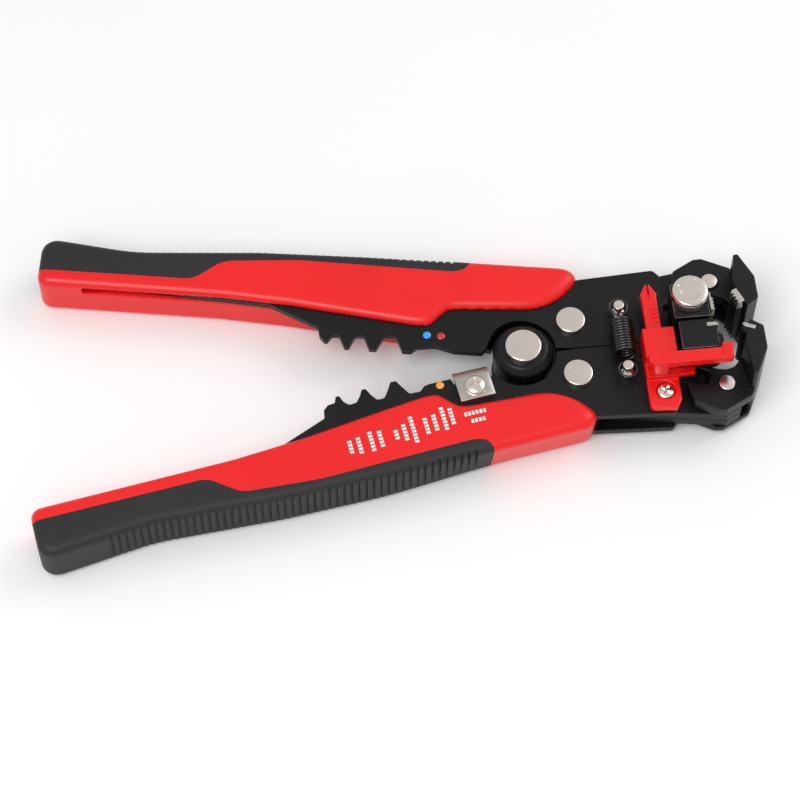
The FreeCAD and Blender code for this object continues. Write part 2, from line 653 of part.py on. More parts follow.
cutter = frame_piece("inner_cutter_block")
cutter.pad(frame_high, BLOCK_STEP, [
    (CUTTER_BACK, -0.5), (CUTTER_FRONT, -0.5), (CUTTER_FRONT, -8.0), (CUTTER_BACK, -8.0)])
cutter.pad(BLOCK_STEP, block_top, [
    (CUTTER_BACK, -0.5, 0.5), (CUTTER_FRONT - 1.2, -0.5, 0.3), (CUTTER_FRONT, -1.4, 0.3),
    (CUTTER_FRONT, -9.2, 1.0), (CUTTER_BACK, -9.2, 0.5)])
cutter.pad(frame_high, block_top - 2.5, [(CUTTER_FRONT - 2, -3.6), (CUTTER_FRONT + 2.0, -3.6, 1.5),
                                         (CUTTER_FRONT + 2.0, -8.6, 2.5), (CUTTER_FRONT - 2, -8.6)])
cutter.pocket(frame_high, frame_high + 5.0, holes=[(x, -y, SCREW_RADIUS) for x, y in BLOCK_SCREWS])
INNER_BLADE = [
    (CUTTER_FRONT - 2.5, -1.7), (CUTTER_FRONT - 0.1, -1.7), (CUTTER_FRONT + 0.8, -2.5),
    (CUTTER_FRONT + 0.5, -2.8), (CUTTER_FRONT - 2.5, -2.8)]
cutter.pocket(lever_low, block_top, INNER_BLADE)
frame_piece("inner_cutter_blade").pad(lever_low, block_top + 0.2, INNER_BLADE)


def block_screws(name, side):
    """Two cheese-head screws from the rear, one node of two solids."""
    solids = []
    for x, y in BLOCK_SCREWS:
        shank = doc.addObject("Part::Cylinder", name + "_shank")
        shank.Radius = SCREW_RADIUS - 0.05
        shank.setExpression("Height", (frame_high * 2 + 4.5).text)
        head = doc.addObject("Part::Cylinder", name + "_head")
        head.Radius = 2.1
        head.Height = 1.2
        for part, low in ((shank, scaled(-1, frame_high)), (head, scaled(-1, frame_high + 1.2))):
            part.Placement.Base = FreeCAD.Vector(x, side * y, 0)
            part.setExpression("Placement.Base.z", (middle + low).text)
        screw = doc.addObject("Part::MultiFuse", name + "_screw")
        screw.Shapes = [shank, head]
        solids.append(screw)
    group = doc.addObject("Part::Compound", name)
    group.Links = solids
    nodes.append(group)


for word, jaw_word, side in SIDES:
    block_screws(word + "_block_screws", side)


# ---------------------------------------------------------------- outer jaws

FORK_HALF = NOSE_RADIUS + NOSE_PLAY
FORK_END = -FORK_REACH - 2.545


def jaw_wall():
    """The upright part that carries the insert or the blade; jaw closed, seen from its rivet."""
    return [(6.5, -0.3), (4.4, -3.7), (1.5, -8.9), (1.0, -15.9), (5.1, -15.2, 1.0), (7.9, -8.9, 1.0),
            (7.7, -0.8)]


def jaw_cheek():
    """The flat cheek round the rivet, with the fork that the lever's nose drives."""
    return [
        (FORK_END, FORK_HALF), (FORK_END, FORK_HALF + 1.4), (-6.9, 8.0, 1.0), (0.0, 8.5, 2.0),
        (2.2, 7.6, 1.0), (7.5, 1.1), (7.7, -0.8), (7.9, -8.9, 1.0), (5.1, -15.2, 1.0), (1.0, -15.9),
        (1.5, -8.9), (0.5, -5.9, 2.0), (-1.4, -4.3, 2.0), (-4.0, -FORK_HALF - 1.4, 1.0),
        (FORK_END, -FORK_HALF - 1.4, 0.5), (FORK_END, -FORK_HALF),
        (-FORK_REACH + 2.6, -FORK_HALF, 1.5), (-FORK_REACH + 2.6, FORK_HALF, 1.5),
    ]


INSERT_LOW = scaled(-1, size("lever_plate"))
OUTER_FACE = GRIPPER_FACE + 0.5 - JX
INSERT_BACK = OUTER_FACE + 2.2
for word, jaw_word, side in SIDES:
    jaw = jaw_piece("outer_%s_jaw" % jaw_word, side)
    jaw.pad(scaled(-1, jaw_rear), jaw_top, mirrored(jaw_wall(), side))
    jaw.pad(lever_low, jaw_high, mirrored(jaw_cheek(), side))
    jaw.pad(scaled(-1, jaw_rear), scaled(-1, lever_low), mirrored(jaw_cheek(), side))
    jaw.pocket(scaled(-1, jaw_rear), jaw_high, holes=[(0, 0, size("jaw_pin") + fit_gap)])
    if side == 1:
        shape = [(INSERT_BACK, -9.7), (INSERT_BACK, -14.2)]
        shape += teeth(OUTER_FACE, OUTER_FACE + 0.8, -14.2, -9.7, 4)
        seat = [(INSERT_BACK, -9.7), (INSERT_BACK, -14.2), (0.0, -14.2), (0.0, -9.7)]
        name = "outer_gripper_insert"
    else:
        shape = [(3.2, 13.3), (0.2, 13.3), (-0.6, 13.9), (-0.1, 14.4), (3.2, 14.4)]
        seat = [(3.2, 13.3), (0.0, 13.3), (0.0, 14.4), (3.2, 14.4)]
        name = "outer_cutter_blade"
    jaw.pocket(INSERT_LOW, jaw_top, seat)
    jaw_piece(name, side).pad(INSERT_LOW, jaw_top - 0.2, shape)


# ---------------------------------------------------------------- wire stop

STOP_LEFT = JX - float(size("stop_left"))
STOP_RIGHT = JX - float(size("stop_right"))
RAIL_LEFT = STOP_LEFT + 1.5
RAIL_RIGHT = RAIL_LEFT + float(size("rail_width"))
SLIDE_GAP = float(size("slide_gap"))
GUIDE_BACK, GUIDE_FRONT = -9.3, -0.4
FLANGE_END = -21.8
FLANGE_HIGH = lever_high + 2.2
RAIL_LOW = FLANGE_HIGH + 1.9
RAIL_HIGH = RAIL_LOW + size("rail_thick")
GUIDE_HIGH = RAIL_HIGH + 1.4
BAR_LOW = GUIDE_HIGH + 0.2
BAR_HIGH = BAR_LOW + 2.6
BAR_EDGE = -9.7
BAR_END = CUTTER_FRONT + 3.3


def at_rest(points):
    """Points given with the handles open, for a piece on the lower lever."""
    placed = from_rest([(point[0], -point[1]) + tuple(point[2:]) for point in points])
    return mirrored(placed, -1)


guide = lever_piece("wire_stop_guide", -1)
guide.pad(lever_high, FLANGE_HIGH, at_rest([
    (STOP_LEFT, GUIDE_FRONT, 0.5), (STOP_LEFT, FLANGE_END, 1.5), (STOP_RIGHT - 1.5, FLANGE_END - 0.5, 1.0),
    (STOP_RIGHT, FLANGE_END + 2.0, 1.0), (STOP_RIGHT, GUIDE_FRONT, 0.5)]))
guide.pad(lever_high, RAIL_LOW - 0.2, at_rest([
    (STOP_LEFT, GUIDE_FRONT), (STOP_LEFT, -13.3), (STOP_RIGHT, -13.3), (STOP_RIGHT, GUIDE_FRONT)]))
guide.pad(lever_high, GUIDE_HIGH, at_rest([
    (STOP_LEFT, GUIDE_FRONT), (STOP_LEFT, GUIDE_BACK), (STOP_RIGHT, GUIDE_BACK), (STOP_RIGHT, GUIDE_FRONT)]))
guide.pad(FLANGE_HIGH + 0.1, RAIL_LOW - 0.2, at_rest([
    (STOP_RIGHT - 1, -11.0), (STOP_RIGHT - 1, -13.2), (STOP_RIGHT + 4.4, -13.2, 0.5),
    (STOP_RIGHT + 4.8, -11.0, 0.5)]))
guide.pocket(RAIL_LOW - SLIDE_GAP, RAIL_HIGH + SLIDE_GAP, at_rest([
    (RAIL_LEFT - SLIDE_GAP, 1.0), (RAIL_LEFT - SLIDE_GAP, GUIDE_BACK - 1),
    (RAIL_RIGHT + SLIDE_GAP, GUIDE_BACK - 1), (RAIL_RIGHT + SLIDE_GAP, 1.0)]))
STOP_SCREW = (STOP_LEFT + 4.8, -16.6)
(screw_x, screw_y), = at_rest([STOP_SCREW])
guide.pocket(lever_high, FLANGE_HIGH, holes=[(screw_x, screw_y, 1.3)])
guide.pocket(lever_high + 1.0, FLANGE_HIGH, holes=[(screw_x, screw_y, 2.7)])
turned("wire_stop_screw", [
    (plain(1.2), lever_high), (plain(1.2), lever_high + 1.0), (plain(2.4), lever_high + 1.0),
    (plain(2.4), lever_high + 1.7), (plain(1.8), lever_high + 2.1),
], plain(STOP_SCREW[0]), plain(STOP_SCREW[1]))

RAIL_MIDDLE = (RAIL_LEFT + RAIL_RIGHT) / 2
stop = lever_piece("wire_stop_slide", -1)
stop.pad(RAIL_LOW, RAIL_HIGH, at_rest([
    (RAIL_LEFT, BAR_EDGE - 3.6), (RAIL_RIGHT, BAR_EDGE - 3.6), (RAIL_RIGHT, 10.6), (RAIL_RIGHT + 0.3, 11.0),
    (RAIL_MIDDLE + 0.6, 14.3), (RAIL_MIDDLE - 0.6, 14.3), (RAIL_LEFT - 0.3, 11.0), (RAIL_LEFT, 10.6)]))
stop.pad(RAIL_LOW, BAR_HIGH, at_rest([
    (RAIL_LEFT, BAR_EDGE - 3.6), (RAIL_RIGHT, BAR_EDGE - 3.6),
    (RAIL_RIGHT, BAR_EDGE), (RAIL_LEFT, BAR_EDGE)]))
stop.pad(BAR_LOW, BAR_HIGH, at_rest([
    (STOP_LEFT + 0.2, BAR_EDGE - 3.6, 1.7), (BAR_END, BAR_EDGE - 3.6, 0.5), (BAR_END + 0.4, BAR_EDGE, 0.3),
    (STOP_LEFT + 0.2, BAR_EDGE, 1.7)]))
stop.pad(BAR_LOW, BAR_HIGH + 0.4, at_rest([
    (CUTTER_FRONT + 0.6, BAR_EDGE - 3.2, 0.3), (BAR_END, BAR_EDGE - 3.2, 0.5),
    (BAR_END + 0.4, BAR_EDGE + 1.2, 0.5), (CUTTER_FRONT + 0.6, BAR_EDGE + 1.2, 0.3)]))


# ---------------------------------------------------------------- return spring

def bound(kind, name, base, lengths, axis=None):
    """A Part primitive whose lengths and place are tied to the sheet; axis turns it from +Z."""
    solid = doc.addObject("Part::" + kind, name)
    for key, amount in lengths:
        solid.setExpression(key, amount.text)
    if axis is not None:
        solid.Placement.Rotation = FreeCAD.Rotation(FreeCAD.Vector(0, 0, 1), FreeCAD.Vector(*axis))
    for key, amount in zip("xyz", base):
        solid.setExpression("Placement.Base." + key, amount.text)
    return solid


coil_end = size("coil_length") / 2
coil_start = (size("post_x"), scaled(-1, coil_end), middle + coil_level)
bore_radius = size("coil_outer") / 2 - size("coil_wire")
outside = bound("Cylinder", "coil_outside", coil_start,
                [("Radius", size("coil_outer") / 2), ("Height", size("coil_length"))], (0, 1, 0))
inside = bound("Cylinder", "coil_inside", coil_start,
               [("Radius", bore_radius), ("Height", size("coil_length"))], (0, 1, 0))
coil = boolean("Cut", "coil_tube", outside, inside, False)
pieces = [coil]
hook_radius = size("post_neck") + 0.15 + size("coil_wire") / 2
for name, side in (("upper", 1), ("lower", -1)):
    pieces.append(bound("Torus", name + "_hook",
                        (size("post_x"), scaled(side, size("post_y")), middle + hook_level),
                        [("Radius1", hook_radius), ("Radius2", size("coil_wire") / 2)]))
    start = coil_end - 0.5 if side == 1 else (size("post_y") - hook_radius) * -1
    pieces.append(bound("Cylinder", name + "_hook_wire", (size("post_x"), start, middle + hook_level),
                        [("Radius", size("coil_wire") / 2),
                         ("Height", size("post_y") - hook_radius - coil_end + 0.5)], (0, 1, 0)))
    web = bound("Box", name + "_hook_web",
                (size("post_x") - size("coil_outer") / 2 + 0.5,
                 coil_end - 0.8 if side == 1 else coil_end * -1, middle + hook_level - 0.3),
                [("Length", size("coil_outer") - 1.0), ("Width", size("coil_wire")),
                 ("Height", size("coil_wire"))])
    pieces.append(web)
spring = doc.addObject("Part::MultiFuse", "return_spring")
spring.Shapes = pieces
nodes.append(spring)


# ---------------------------------------------------------------- checks and export

doc.recompute()
for item in doc.Objects:
    for state in item.State:
        if state in ("Invalid", "Error"):
            raise RuntimeError("%s is %s" % (item.Name, state))
for item in nodes:
    if item.Shape.isNull() or not item.Shape.isValid():
        raise RuntimeError("bad shape: " + item.Name)

os.makedirs("parts", exist_ok=True)
for item in nodes:
    item.Label = item.Name
    item.Shape.exportStep("parts/%s.step" % item.Name)
    print("%-26s %d solid  %9.1f mm3" % (item.Name, len(item.Shape.Solids), item.Shape.Volume))
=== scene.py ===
"""Self-adjusting wire stripper: grips, plates, spring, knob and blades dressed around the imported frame."""
import json
import math

import bpy
from bpy.props import FloatProperty, FloatVectorProperty, IntProperty, PointerProperty
from mathutils import Matrix, Vector

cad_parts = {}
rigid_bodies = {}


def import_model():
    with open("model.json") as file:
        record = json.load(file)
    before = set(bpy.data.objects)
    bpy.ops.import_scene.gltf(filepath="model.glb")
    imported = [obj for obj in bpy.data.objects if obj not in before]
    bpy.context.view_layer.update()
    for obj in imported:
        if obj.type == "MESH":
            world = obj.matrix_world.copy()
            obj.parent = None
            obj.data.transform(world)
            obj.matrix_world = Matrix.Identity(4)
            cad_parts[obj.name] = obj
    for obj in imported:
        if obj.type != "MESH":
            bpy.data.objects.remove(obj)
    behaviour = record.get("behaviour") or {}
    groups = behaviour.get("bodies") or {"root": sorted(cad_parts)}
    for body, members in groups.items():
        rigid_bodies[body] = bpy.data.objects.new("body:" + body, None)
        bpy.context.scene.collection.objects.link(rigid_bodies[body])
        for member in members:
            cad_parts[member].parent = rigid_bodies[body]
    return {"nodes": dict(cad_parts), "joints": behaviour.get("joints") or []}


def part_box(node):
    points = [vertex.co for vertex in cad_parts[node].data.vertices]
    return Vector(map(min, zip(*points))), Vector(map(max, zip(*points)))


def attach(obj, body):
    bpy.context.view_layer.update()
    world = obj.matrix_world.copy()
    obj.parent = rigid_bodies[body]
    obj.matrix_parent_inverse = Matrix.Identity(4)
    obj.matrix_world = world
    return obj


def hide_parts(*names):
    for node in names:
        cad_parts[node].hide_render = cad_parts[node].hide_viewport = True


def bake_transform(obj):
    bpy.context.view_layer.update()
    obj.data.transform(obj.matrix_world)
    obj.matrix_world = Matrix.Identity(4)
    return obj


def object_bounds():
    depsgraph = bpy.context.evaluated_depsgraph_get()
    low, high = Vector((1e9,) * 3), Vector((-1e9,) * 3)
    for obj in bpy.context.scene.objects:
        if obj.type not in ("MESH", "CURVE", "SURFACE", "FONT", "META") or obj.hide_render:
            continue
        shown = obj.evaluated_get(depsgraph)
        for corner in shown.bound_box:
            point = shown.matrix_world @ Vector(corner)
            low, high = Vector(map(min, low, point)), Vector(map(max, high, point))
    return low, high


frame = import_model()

bl_info = {
    "name": "Wire Stripper Dresser",
    "version": (1, 0, 0),
    "blender": (4, 5, 0),
    "location": "3D View > Sidebar > Wire Stripper",
    "description": "Models and finishes the visible pieces of a self-adjusting wire stripper",
    "category": "Object",
}

MM = 0.001
NODES = frame["nodes"]
JOINTS = {joint["name"]: joint for joint in frame["joints"]}
CAD_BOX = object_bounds()
MIDDLE = sum(corner.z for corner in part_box("upper_grip")) / 2
SIDES = (("upper", 1), ("lower", -1))
HOOK_BELOW_TOP = 2.0 * MM  # from the top of a spring post to the middle of the wire hooked on it
SAME_PLACE = 1e-6  # vertices closer than this are one


def linear(code):
    """The linear colour of an sRGB hex code."""
    parts = [int(code[i:i + 2], 16) / 255 for i in (1, 3, 5)]
    return tuple(c / 12.92 if c <= 0.04045 else ((c + 0.055) / 1.055) ** 2.4 for c in parts)


def colour(name, description, code):
    return FloatVectorProperty(name=name, description=description, subtype="COLOR", size=3,
                               min=0, max=1, default=linear(code))


def length(name, description, millimetres):
    return FloatProperty(name=name, description=description, default=millimetres * MM, unit="LENGTH",
                         precision=5)


# ---------------------------------------------------------------- what a user may change

class ColourSettings(bpy.types.PropertyGroup):
    core: colour("Grip core", "Hard red moulding of the grips and the wire stop", "#E9080B")
    overmould: colour("Overmould", "Soft charcoal skin on the grips", "#1B1B1D")
    steel: colour("Black steel", "Oxide-blackened plates and jaws", "#0D0D0E")
    nickel: colour("Nickel", "Plating on rivets, posts and the knob", "#EDE4DA")
    ground: colour("Ground steel", "Bare hardened steel of blades and teeth", "#C8C3BC")
    wire: colour("Spring wire", "Blackened and oiled music wire", "#0B0B0C")
    blue: colour("Blue enamel", "Mark beside the upper crimp teeth", "#1E9BEF")
    ruby: colour("Red enamel", "Mark beside the upper crimp teeth", "#C00518")
    amber: colour("Amber enamel", "Mark beside the lower crimp teeth", "#F2A20C")
    ink: colour("Ink", "White pad print on the lower grip", "#F4F1EC")
    floor: colour("Floor", "Studio floor", "#F7F7F7")


class SizeSettings(bpy.types.PropertyGroup):
    plate_edge: length("Plate edge", "Rounding of the stamped plates' edges", 0.15)
    jaw_edge: length("Jaw edge", "Rounding of the cast jaws' edges", 0.35)
    handle_angle: FloatProperty(name="Handle angle", description="Each open handle's angle from the axis",
                                default=math.radians(9.4), unit="ROTATION")
    grip_cell: length("Grip cell", "Mesh size of the grips before they are rounded", 0.45)
    stop_cell: length("Stop cell", "Mesh size of the wire stop before it is rounded", 0.16)
    rib_pitch: length("Rib pitch", "Spacing of the ribs on the overmoulds", 2.04)
    rib_slot: length("Rib slot", "Width of the slots between the ribs", 0.75)
    rib_deep: length("Rib depth", "Depth of the slots between the ribs", 0.7)
    coil_turns: IntProperty(name="Coil turns", description="Whole turns of the return spring", default=11)
    wire: length("Spring wire", "Diameter of the spring's wire", 0.8)
    dot: length("Enamel dot", "Diameter of the enamel marks", 2.3)
    knurl_count: IntProperty(name="Knurls", description="Ridges round the tension knob", default=64)


class StageSettings(bpy.types.PropertyGroup):
    azimuth: FloatProperty(name="Azimuth", description="Camera's turn about Z", unit="ROTATION",
                           default=math.radians(-5.7))
    elevation: FloatProperty(name="Elevation", description="Camera's height angle", unit="ROTATION",
                             default=math.radians(61.0))
    distance: length("Distance", "Camera's distance from the middle of the picture", 753.0)
    lens: FloatProperty(name="Lens", description="Focal length on a 36 mm sensor", default=123.75,
                        unit="CAMERA")
    ceiling: FloatProperty(name="Ceiling light", description="Brightness of the white room", default=0.62)
    key: FloatProperty(name="Key light", description="Power of the soft box above", default=3.4, unit="POWER")


def colours():
    return bpy.context.scene.stripper_colours


def sizes():
    return bpy.context.scene.stripper_sizes


# ---------------------------------------------------------------- materials

def add(tree, kind, values=(), links=(), **settings):
    """Adds a node with its settings, its sockets' values and its links."""
    made = tree.nodes.new(kind)
    for name, value in settings.items():
        setattr(made, name, value)
    for socket, value in dict(values).items():
        made.inputs[socket].default_value = value
    for socket, source in dict(links).items():
        tree.links.new(source, made.inputs[socket])
    return made


def started(name):
    """An empty node material, its tree and its object coordinates."""
    material = bpy.data.materials.get(name)
    if material:
        return material, None, None
    material = bpy.data.materials.new(name)
    material.use_nodes = True
    material.node_tree.nodes.clear()
    place = add(material.node_tree, "ShaderNodeTexCoord").outputs["Object"]
    return material, material.node_tree, place


def two_tone(tree, factor, dark, light):
    """A colour between two shades of one tone."""
    ramp = add(tree, "ShaderNodeValToRGB", links={"Fac": factor})
    ramp.color_ramp.elements[0].color = (*dark, 1)
    ramp.color_ramp.elements[1].color = (*light, 1)
    ramp.color_ramp.elements[0].position = 0.3
    ramp.color_ramp.elements[1].position = 0.7
    return ramp.outputs["Color"]


def shade(tone, amount):
    return tuple(min(1.0, c * amount) for c in tone)


def moulded_plastic(name, tone, grain_mm, bump_mm, rough, coat):
    """Satin injection-moulded plastic: fine spark-eroded grain that breaks up the highlight."""
    material, tree, place = started(name)
    if tree is None:
        return material
    # grain is 0.1 mm on the real part, and is drawn coarser so that it shows
    grain = add(tree, "ShaderNodeTexNoise", {"Scale": 1 / (grain_mm * MM), "Detail": 3.0, "Roughness": 0.6},
                {"Vector": place})
    cloud = add(tree, "ShaderNodeTexNoise", {"Scale": 1 / (22 * MM), "Detail": 2.0}, {"Vector": place})
    gloss = add(tree, "ShaderNodeMapRange", {"To Min": rough - 0.05, "To Max": rough + 0.07},
                {"Value": cloud.outputs["Fac"]})
    bump = add(tree, "ShaderNodeBump", {"Strength": 0.55, "Distance": bump_mm * MM},
               {"Height": grain.outputs["Fac"]})
    shader = add(tree, "ShaderNodeBsdfPrincipled",
                 {"IOR": 1.49, "Coat Weight": coat, "Coat Roughness": 0.2},
                 {"Base Color": two_tone(tree, cloud.outputs["Fac"], shade(tone, 0.96), shade(tone, 1.03)),
                  "Roughness": gloss.outputs["Result"], "Normal": bump.outputs["Normal"]})
    add(tree, "ShaderNodeOutputMaterial", links={"Surface": shader.outputs["BSDF"]})
    return material


def moulded_core():
    """Red polypropylene core, satin moulded: an even, saturated red with a soft broad highlight."""
    return moulded_plastic("satin_moulded_polypropylene_red", colours().core, 0.5, 0.02, 0.36, 0.1)


def moulded_stop():
    """Red nylon wire stop, from a polished mould: slightly glossier than the grips."""
    return moulded_plastic("moulded_nylon_red", colours().core, 0.7, 0.012, 0.3, 0.15)


def soft_overmould():
    """Charcoal thermoplastic rubber with a matt leathery grain: dark, with almost no highlight."""
    return moulded_plastic("matt_thermoplastic_rubber", colours().overmould, 0.4, 0.03, 0.55, 0.0)


def blackened_steel():
    """Stamped steel, black oxide under oil: nearly black, with a soft satin reflection."""
    material, tree, place = started("black_oxide_steel")
    if tree is None:
        return material
    tone = colours().steel
    grit = add(tree, "ShaderNodeTexNoise", {"Scale": 1 / (0.6 * MM), "Detail": 4.0, "Roughness": 0.65},
               {"Vector": place})
    cloud = add(tree, "ShaderNodeTexNoise", {"Scale": 1 / (14 * MM), "Detail": 3.0}, {"Vector": place})
    gloss = add(tree, "ShaderNodeMapRange", {"To Min": 0.3, "To Max": 0.44}, {"Value": cloud.outputs["Fac"]})
    bump = add(tree, "ShaderNodeBump", {"Strength": 0.4, "Distance": 0.012 * MM},
               {"Height": grit.outputs["Fac"]})
    shader = add(tree, "ShaderNodeBsdfPrincipled", {"IOR": 1.5, "Specular IOR Level": 0.3},
                 {"Base Color": two_tone(tree, cloud.outputs["Fac"], shade(tone, 0.8), shade(tone, 1.25)),
                  "Roughness": gloss.outputs["Result"], "Normal": bump.outputs["Normal"]})
    add(tree, "ShaderNodeOutputMaterial", links={"Surface": shader.outputs["BSDF"]})
    return material


def metal(name, tone, rough, spread, stretch, bump_mm):
    """Bare or plated metal; stretch draws its grinding lines out along X."""
    material, tree, place = started(name)
    if tree is None:
        return material
    lines = add(tree, "ShaderNodeMapping", {"Scale": (1 / stretch, 1.0, 1.0)}, {"Vector": place})
    grain = add(tree, "ShaderNodeTexNoise", {"Scale": 1 / (0.35 * MM), "Detail": 4.0, "Roughness": 0.7},
                {"Vector": lines.outputs["Vector"]})
    gloss = add(tree, "ShaderNodeMapRange", {"To Min": rough - spread, "To Max": rough + spread},
                {"Value": grain.outputs["Fac"]})
    bump = add(tree, "ShaderNodeBump", {"Strength": 0.5, "Distance": bump_mm * MM},
               {"Height": grain.outputs["Fac"]})
    shader = add(tree, "ShaderNodeBsdfPrincipled", {"Metallic": 1.0},
                 {"Base Color": two_tone(tree, grain.outputs["Fac"], shade(tone, 0.93), shade(tone, 1.04)),
                  "Roughness": gloss.outputs["Result"], "Normal": bump.outputs["Normal"]})
    add(tree, "ShaderNodeOutputMaterial", links={"Surface": shader.outputs["BSDF"]})
    return material


def nickel():
    """Barrel-plated nickel: warm and bright, faintly pitted, so reflections are softly broken."""
    return metal("barrel_plated_nickel", colours().nickel, 0.2, 0.06, 1.0, 0.006)


def ground_steel():
    """Ground and hardened tool steel: grey, with fine lines from the wheel."""
    return metal("ground_tool_steel", colours().ground, 0.3, 0.08, 12.0, 0.004)


def worn_edge():
    """Steel showing through the black at machined corners: thin bright lines."""
    return metal("rubbed_bare_steel", shade(colours().ground, 0.8), 0.32, 0.05, 1.0, 0.004)


def spring_wire():
    """Oiled black music wire: glossy, so each turn carries a thin highlight."""
    material, tree, place = started("oiled_music_wire")
    if tree is None:
        return material
    draw = add(tree, "ShaderNodeTexNoise", {"Scale": 1 / (0.3 * MM), "Detail": 2.0}, {"Vector": place})
    gloss = add(tree, "ShaderNodeMapRange", {"To Min": 0.14, "To Max": 0.24}, {"Value": draw.outputs["Fac"]})
    tone = colours().wire
    shader = add(tree, "ShaderNodeBsdfPrincipled", {"IOR": 1.6, "Specular IOR Level": 0.6},
                 {"Base Color": two_tone(tree, draw.outputs["Fac"], shade(tone, 0.7), shade(tone, 1.4)),
                  "Roughness": gloss.outputs["Result"]})
    add(tree, "ShaderNodeOutputMaterial", links={"Surface": shader.outputs["BSDF"]})
    return material


def enamel(name, tone):
    """A drop of stoving enamel: deep colour under a clear glossy dome."""
    material, tree, place = started(name)
    if tree is None:
        return material
    cloud = add(tree, "ShaderNodeTexNoise", {"Scale": 1 / (1.5 * MM)}, {"Vector": place})
    shader = add(tree, "ShaderNodeBsdfPrincipled",
                 {"Roughness": 0.12, "Coat Weight": 1.0, "Coat Roughness": 0.03},
                 {"Base Color": two_tone(tree, cloud.outputs["Fac"], shade(tone, 0.85), shade(tone, 1.1))})
    add(tree, "ShaderNodeOutputMaterial", links={"Surface": shader.outputs["BSDF"]})
    return material


def pad_print():
    """White pad-printing ink: thin, matt and a little uneven."""
    material, tree, place = started("white_pad_print")
    if tree is None:
        return material
    tone = colours().ink
    cover = add(tree, "ShaderNodeTexNoise", {"Scale": 1 / (0.5 * MM), "Detail": 3.0}, {"Vector": place})
    shader = add(tree, "ShaderNodeBsdfPrincipled", {"Roughness": 0.5},
                 {"Base Color": two_tone(tree, cover.outputs["Fac"], shade(tone, 0.88), tone)})
    add(tree, "ShaderNodeOutputMaterial", links={"Surface": shader.outputs["BSDF"]})
    return material


def studio_floor():
    """Pale seamless board: almost white, with the faintest mottle."""
    material, tree, place = started("pale_studio_board")
    tone = colours().floor
    mottle = add(tree, "ShaderNodeTexNoise", {"Scale": 1 / (60 * MM)}, {"Vector": place})
    shader = add(tree, "ShaderNodeBsdfPrincipled", {"Roughness": 0.8},
                 {"Base Color": two_tone(tree, mottle.outputs["Fac"], shade(tone, 0.99), tone)})
    add(tree, "ShaderNodeOutputMaterial", links={"Surface": shader.outputs["BSDF"]})
    return material


# ---------------------------------------------------------------- modelling helpers

def deselect():
    if bpy.context.object and bpy.context.object.mode != "OBJECT":
        bpy.ops.object.mode_set(mode="OBJECT")
    bpy.ops.object.select_all(action="DESELECT")


def activate(piece, *others):
    deselect()
    for other in others:
        other.select_set(True)
    piece.select_set(True)
    bpy.context.view_layer.objects.active = piece


def apply_modifier(piece, kind, **settings):
    activate(piece)
    modifier = piece.modifiers.new(kind.lower(), kind)
    for name, value in settings.items():
        setattr(modifier, name, value)
    bpy.ops.object.modifier_apply(modifier=modifier.name)


def settle(piece):
    """Puts the piece's place in its mesh, with its normals outwards."""
    activate(piece)
    bpy.ops.object.transform_apply(location=True, rotation=True, scale=True)
    bpy.ops.object.mode_set(mode="EDIT")
    bpy.ops.mesh.select_all(action="SELECT")
    bpy.ops.mesh.remove_doubles(threshold=SAME_PLACE)
    bpy.ops.mesh.normals_make_consistent(inside=False)
    bpy.ops.object.mode_set(mode="OBJECT")


def finish_piece(piece, material, smooth=35):
    settle(piece)
    activate(piece)
    bpy.ops.object.shade_smooth_by_angle(angle=math.radians(smooth))
    if not any(piece.data.materials):
        piece.data.materials.clear()
        piece.data.materials.append(material)
    return piece


def merged_copy(node, name, whole_faces=True):
    """A copy of a CAD node with its doubled vertices merged and, if asked, its flat faces whole."""
    piece = bpy.data.objects.new(name, NODES[node].data.copy())
    bpy.context.scene.collection.objects.link(piece)
    piece.data.materials.clear()
    activate(piece)
    bpy.ops.object.mode_set(mode="EDIT")
    bpy.ops.mesh.select_all(action="SELECT")
    bpy.ops.mesh.remove_doubles(threshold=SAME_PLACE)
    if whole_faces:
        bpy.ops.mesh.dissolve_limited(angle_limit=math.radians(1.5))
    bpy.ops.object.mode_set(mode="OBJECT")
    return piece


def stand_in(piece, node, body):
    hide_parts(node)
    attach(piece, body)


def body_of(node):
    return NODES[node].parent.name.split(":")[1]


def eased(node, name, material, edge, edge_material=None):
    """A CAD node's twin with its sharp edges rounded; worn edges may show another finish."""
    piece = merged_copy(node, name)
    piece.data.materials.append(material)
    settings = {"width": edge, "segments": 2, "limit_method": "ANGLE", "angle_limit": math.radians(32),
                "use_clamp_overlap": False, "harden_normals": False}
    if edge_material:
        piece.data.materials.append(edge_material)
        settings["material"] = 1
        settings["segments"] = 1
    apply_modifier(piece, "BEVEL", **settings)
    finish_piece(piece, material, 40)
    apply_modifier(piece, "WEIGHTED_NORMAL", keep_sharp=True)
    stand_in(piece, node, body_of(node))
    return piece


def just_made(name):
    """The object that an operator has just made, named and with its place in its mesh."""
    piece = bpy.context.object
    piece.name = piece.data.name = name
    bpy.ops.object.transform_apply(location=True, rotation=True, scale=True)
    return piece


def lathe(name, centre, profile, sides=96):
    """A turned piece: a disc drawn up through (radius, height) corners, closed at both ends."""
    deselect()
    radius, height = profile[0]
    bpy.ops.mesh.primitive_circle_add(vertices=sides, radius=radius, fill_type="NGON",
                                      location=(centre[0], centre[1], height))
    piece = just_made(name)
    bpy.ops.object.mode_set(mode="EDIT")
    bpy.ops.mesh.select_mode(type="FACE")
    bpy.ops.mesh.select_all(action="SELECT")
    for new_radius, new_height in profile[1:]:
        bpy.ops.mesh.extrude_region_move(TRANSFORM_OT_translate={"value": (0, 0, new_height - height)})
        factor = new_radius / radius
        bpy.ops.transform.resize(value=(factor, factor, 1),
                                 center_override=(centre[0], centre[1], new_height))
        radius, height = new_radius, new_height
    bpy.ops.object.mode_set(mode="OBJECT")
    return piece


